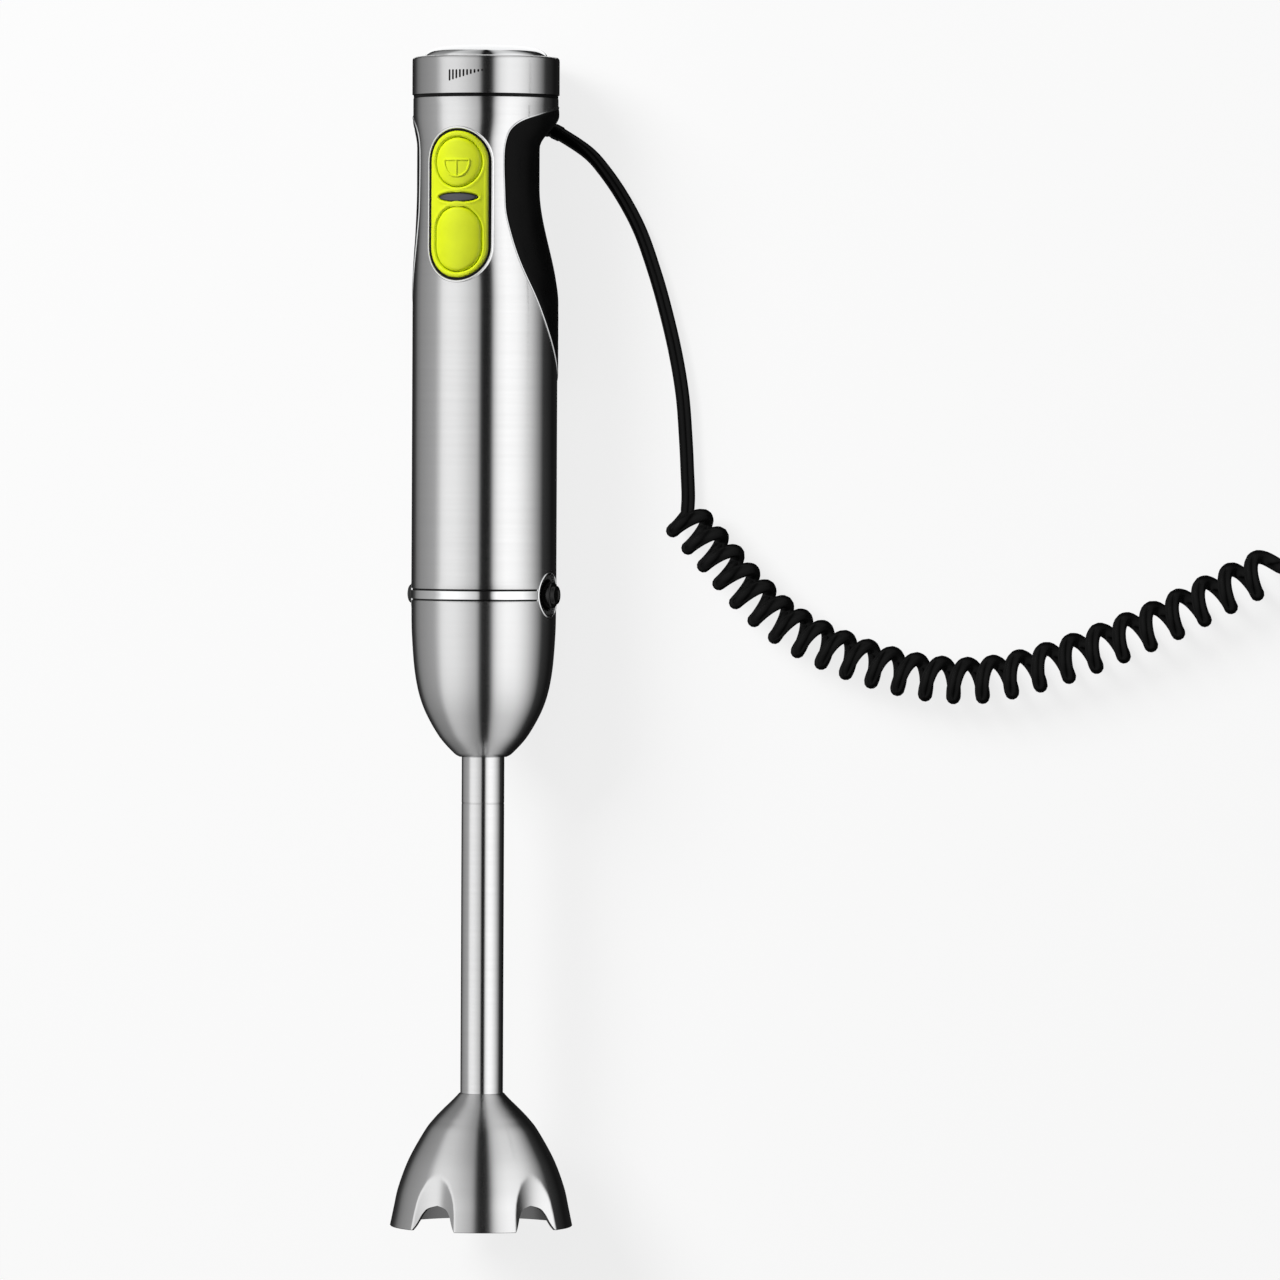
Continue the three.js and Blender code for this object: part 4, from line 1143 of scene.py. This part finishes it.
def add_cone():
    outside = catmull([
        (8.2, CONE_BOTTOM), (10.4, 163.5), (15.6, 169.5), (20.8, 179.3), (23.5, 189.9),
        (24.75, 204), (24.95, CONE_TOP - 0.25)], 64)
    inside_line = catmull([(23.5, CONE_TOP), (23.3, 200), (20.2, 184), (13.6, 170.5)], 14)
    outline = [(7.6, CONE_BOTTOM + 0.15), (7.9, CONE_BOTTOM), *outside, (24.75, CONE_TOP),
               *inside_line, (7.6, 168)]
    cone = turned("foot_cone_steel", outline, 240)
    carved(cone, *side_rooms(2 * RELEASE_RING_R + 0.6))
    finish_piece(cone, FOOT_STEEL, "foot", ["foot_cone"], crease=40)


def add_tube():
    """The tube, with a fine groove where its upper sleeve begins."""
    bore_r, groove_r, groove = 6.1, TUBE_R - 0.1, 146.0
    outline = [
        (bore_r, TUBE_BOTTOM), (TUBE_R, TUBE_BOTTOM), (TUBE_R, 60), (TUBE_R, 100),
        (TUBE_R, groove - 0.25), (groove_r, groove - 0.12), (groove_r, groove + 0.12),
        (TUBE_R, groove + 0.25), (TUBE_R, 170), (TUBE_R, TUBE_TOP), (bore_r, TUBE_TOP),
    ]
    tube = turned("tube_steel", outline, 128)
    finish_piece(tube, TUBE_STEEL, "foot", ["shaft_tube"])


BELL_OUTSIDE = [
    (31.5, 0), (30.2, 6.3), (28.6, 13.4), (25, 23), (19.6, 32.7), (16.5, 36.8), (13.3, 40.2),
    (9.8, 43.6), (7.75, 45.8),
]
BELL_WALL = 1.35
DENT_TOP = 18.7
DENT_CURVE = 12.0             # radius of the hollow pressed in round each notch
DENT_HALF_WIDTHS = [
    (0, 8.9), (5, 8.4), (9.5, 7.6), (12.5, 6.6), (16.2, 4.4), (18.0, 2.3), (DENT_TOP, 0),
]
# The left half of a notch, as (across, up) points.
NOTCH = [(-9.4, -2), (-8.9, -0.4), (-7.6, 1.5), (-6.6, 3.4), (-5.6, 5.5), (-3.7, 7.6), (0, 8.7)]
SCALLOP_ANGLES = [math.radians(FIRST_SCALLOP + i * 360 / SCALLOPS) for i in range(SCALLOPS)]


def dented(points):
    """Presses the bell's points in round each notch."""
    points = np.array(points, float)
    radius = np.hypot(points[:, 0], points[:, 1])
    angle = np.arctan2(points[:, 0], -points[:, 1])
    levels, widths = zip(*DENT_HALF_WIDTHS)
    half = np.interp(points[:, 2], levels, widths)
    depth = np.zeros(len(points))
    for middle in SCALLOP_ANGLES:
        apart = (angle - middle + math.pi) % (2 * math.pi) - math.pi
        across = radius * apart
        depth = np.maximum(depth, (half ** 2 - across ** 2) / (2 * DENT_CURVE))
    depth[points[:, 2] > DENT_TOP] = 0
    factor = (radius - depth) / np.maximum(radius, 1e-6)
    points[:, 0] *= factor
    points[:, 1] *= factor
    return points


def add_bell():
    sleeve_r, sleeve_bottom, sleeve_top = 7.38, 38.0, 45.9
    rim_r = BELL_OUTSIDE[0][0]
    outside = catmull(BELL_OUTSIDE, 84)
    inside_line = outside[outside[:, 1] < 36.5][::-1] - (BELL_WALL, 0)
    outline = [
        (rim_r - 0.25, 0.0), (rim_r - 0.04, 0.22), *outside[1:],
        (sleeve_r, sleeve_top), (sleeve_r, sleeve_bottom), (11, sleeve_bottom), *inside_line,
    ]
    bell = loft("bell_steel", [dented(circle(radius, z, 400)) for radius, z in outline], True)
    half = catmull(NOTCH, 24)
    arch = np.concatenate([half, half[::-1][1:] * (-1, 1)])[::-1]
    cutters = []
    for middle in SCALLOP_ANGLES:
        cutter = prism(arch, "y", -36, -14)
        cutter.data.transform(Matrix.Rotation(middle, 4, "Z"))
        cutters.append(cutter)
    carved(bell, joined("notches", cutters))
    finish_piece(bell, FOOT_STEEL, "foot", ["bell_guard"], crease=40)


BLADE_R, BLADE_Z, BLADE_THICK = 21.5, 13.0, 1.6
BLADE_FLAT, BLADE_BEND = 8.0, 5.0


def blade_wing(side):
    """A swept wing from the flat middle, bent up (1) or down (-1) and ground to an edge."""
    steps = [
        (-4, -4.6, 4.6), (0, -4.6, 4.6), (5, -4.7, 4.5), (8, -5, 4.3), (13, -4.9, 3.9),
        (18, -3.7, 3.2), (20.6, -1.2, 2.2), (21.3, 0.2, 1.4),
    ]
    sharp, ground_from, ground_over = 0.12, 5.5, 2.0
    sections = []
    for x, lead, trail in evenly(catmull(steps, 80), 26):
        lift = side * BLADE_BEND * max((x - BLADE_FLAT) / (BLADE_R - BLADE_FLAT), 0) ** 1.5
        ground = min(max(x - ground_from, 0) / ground_over, 1)
        low, high = BLADE_Z + lift, BLADE_Z + BLADE_THICK + lift
        edge = low + sharp + (BLADE_THICK - sharp) * (1 - ground) - 0.02
        bevel = min(2.2, 0.5 * (trail - lead))
        corners = [(lead, low), (trail - 0.2, low), (trail, low + 0.25), (trail, high - 0.25),
                   (trail - 0.2, high), (lead + bevel, high), (lead, edge)]
        sections.append(np.array([(x * side, y * side, z) for y, z in corners]))
    return loft("wing", sections, caps=True)


def hexagonal(name, inner, outer, low, high, bevel):
    """A six-sided sleeve with round, bevelled ends."""
    around, end = 48, outer * 0.86

    def ring(radius, z, sides):
        place = np.arange(around) * sides / around
        turn = np.floor(place) * 2 * math.pi / sides
        blend = place % 1
        ahead = turn + 2 * math.pi / sides
        x = radius * ((1 - blend) * np.cos(turn) + blend * np.cos(ahead))
        y = radius * ((1 - blend) * np.sin(turn) + blend * np.sin(ahead))
        return np.stack([x, y, np.full(around, z)], 1)

    rings = [
        ring(inner, low, around), ring(end, low, around), ring(outer, low + bevel, 6),
        ring(outer, high - bevel, 6), ring(end, high, around), ring(inner, high, around),
    ]
    return loft(name, rings, True)


def add_blade():
    """The blade with two wings, the nut below it, the hub above it and the shaft's rounded end."""
    blade = united(blade_wing(1), blade_wing(-1))
    blade.name = "blade_steel"
    carved(blade, turned("hole", [(0, 10), (2.7, 10), (2.7, 18), (0, 18)], 48, closed=False))
    finish_piece(blade, BLADE_STEEL, "blade_drive", ["blade"], 25)
    nut = hexagonal("nut_steel", 2.7, 4.8, 9.4, 12.6, 0.45)
    finish_piece(nut, DARK_STEEL, "blade_drive", ["blade_nut"], 25)
    hub = turned("hub_steel", rounded([
        (2.7, 15), (4.3, 15), (4.3, 17), (3.7, 17.4), (3.7, 18.2), (4.3, 18.6), (5.2, 19.4),
        (5.2, 26), (2.7, 26)], [0, 0.4, 0.2, 0.2, 0.2, 0.2, 0.5, 0.5, 0], 4), 96)
    finish_piece(hub, DARK_STEEL, "blade_drive", ["blade_hub"], 40)
    shaft = turned("drive_shaft_steel", rounded([
        (0, 9), (2.4, 9), (2.4, 207), (0, 207)], [0, 0.5, 0.3, 0], 4), 48, closed=False)
    finish_piece(shaft, DARK_STEEL, "blade_drive", ["drive_shaft"], 40)


# ---- Strain relief and plug ----


def add_strain_relief():
    """A tapered sleeve with ribs over most of its length."""
    wide_r, taper, ribs, rib_depth = 3.15, 0.5, 8, 0.12
    line = evenly(catmull(BOOT_PATH, 120), 100)
    share = np.linspace(0, 1, len(line))
    wave = np.clip(np.sin(share * 2 * math.pi * ribs) * 3, -1, 1)
    ribbed = (share > 0.3) * (share < 0.93)
    radius = wide_r - taper * share - rib_depth * (1 - wave) * ribbed
    boot = sweep("strain_relief", line, radius, 24)
    finish_piece(boot, CORD_RUBBER, "handle", ["cord_strain_relief"], crease=50)


def add_plug():
    """A flat two-pin plug with its cord coming in at its narrow end."""
    low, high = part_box("plug_body")
    start, middle_y, middle_z = low.x / MM, (low.y + high.y) / 2 / MM, (low.z + high.z) / 2 / MM
    # Along, half width, half height and how square the section is.
    sections = [
        (0, 2.9, 2.9, 2), (0.4, 3.5, 3.5, 2), (2.4, 3.7, 3.7, 2), (3, 3.2, 3.2, 2),
        (4, 3.2, 3.2, 2), (4.6, 3.9, 3.9, 2), (6.2, 4.0, 4.0, 2), (6.8, 3.5, 3.5, 2),
        (7.8, 3.5, 3.5, 2), (8.4, 4.2, 4.2, 2), (10, 4.4, 4.4, 2), (10.6, 4.0, 4.0, 2),
        (11.6, 4.1, 4.1, 2), (12.4, 5, 4.8, 2.2), (15, 6.6, 5.4, 2.4), (18, 9, 5.9, 2.8),
        (22, 12.3, 6.3, 3.2), (27, 15.5, 6.6, 3.8), (31, 16.9, 6.85, 4.2), (36, 17.4, 6.95, 4.6),
        (44, 17.4, 6.95, 4.8), (48, 17.1, 6.8, 4.8), (49.4, 16.4, 6.2, 4.6), (49.9, 15.3, 5.3, 4.4),
    ]
    turn = full_turn(64)
    c, s = np.cos(turn), np.sin(turn)
    rings = []
    for x, half_y, half_z, power in sections:
        y = half_y * np.sign(c) * np.abs(c) ** (2 / power)
        z = half_z * np.sign(s) * np.abs(s) ** (2 / power)
        rings.append(np.stack([np.full(len(turn), start + x), middle_y + y, middle_z + z], 1))
    plug = loft("plug", rings, caps=True)
    finish_piece(
        plug, BLACK_PLASTIC, "handle", ["plug_body"], crease=35, upright=False)
    for word in ("left", "right"):
        low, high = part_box("plug_pin_" + word)
        y, z = (low.y + high.y) / 2 / MM, (low.z + high.z) / 2 / MM
        corners = [(0, -0.5), (2.0, -0.5), (2.0, 10), (1.9, 10.1), (1.9, 19), (0, 19)]
        pin = turned("pin_" + word, rounded(corners, [0, 0, 0, 0, 1.2, 0]), 48, closed=False)
        place = Vector((low.x, y * MM, z * MM))
        pin.data.transform(Matrix.Translation(place) @ Matrix.Rotation(math.pi / 2, 4, "Y"))
        finish_piece(pin, NICKEL, "handle", ["plug_pin_" + word], 50, upright=False)


# ---- Pieces inside, kept from the CAD ----

INNER = {
    "dark_steel": DARK_STEEL, "polished_steel": BRIGHT_STEEL, "brushed_steel": TUBE_STEEL,
    "copper": COPPER, "brass": BRASS, "white_plastic": WHITE_PLASTIC,
    "black_plastic": BLACK_PLASTIC, "mount_rubber": MOUNT_RUBBER, "circuit_board": BOARD,
    "cord_rubber": CORD_RUBBER, "grip_rubber": GRIP_RUBBER, "black_button": GLOSSY_BLACK,
    "plug_plastic": BLACK_PLASTIC, "yellow_rubber": YELLOW, "smoked_lens": LENS,
}

add_body_shell()
add_lips()
add_grip()
add_trim()
add_release(-1, "left")
add_release(1, "right")
add_panel()
add_button("power_cap", power_outline, POWER_R, 0.4, "power_button")
add_button("turbo_cap", turbo_outline, TURBO_WIDTH / 2, 0.45, "turbo_button")
add_icon()
add_lens()
add_dial()
add_cone()
add_tube()
add_bell()
add_blade()
add_strain_relief()
add_plug()

for obj in frame["nodes"].values():
    for material_slot in obj.material_slots:
        material_slot.material = INNER[material_slot.material.name]
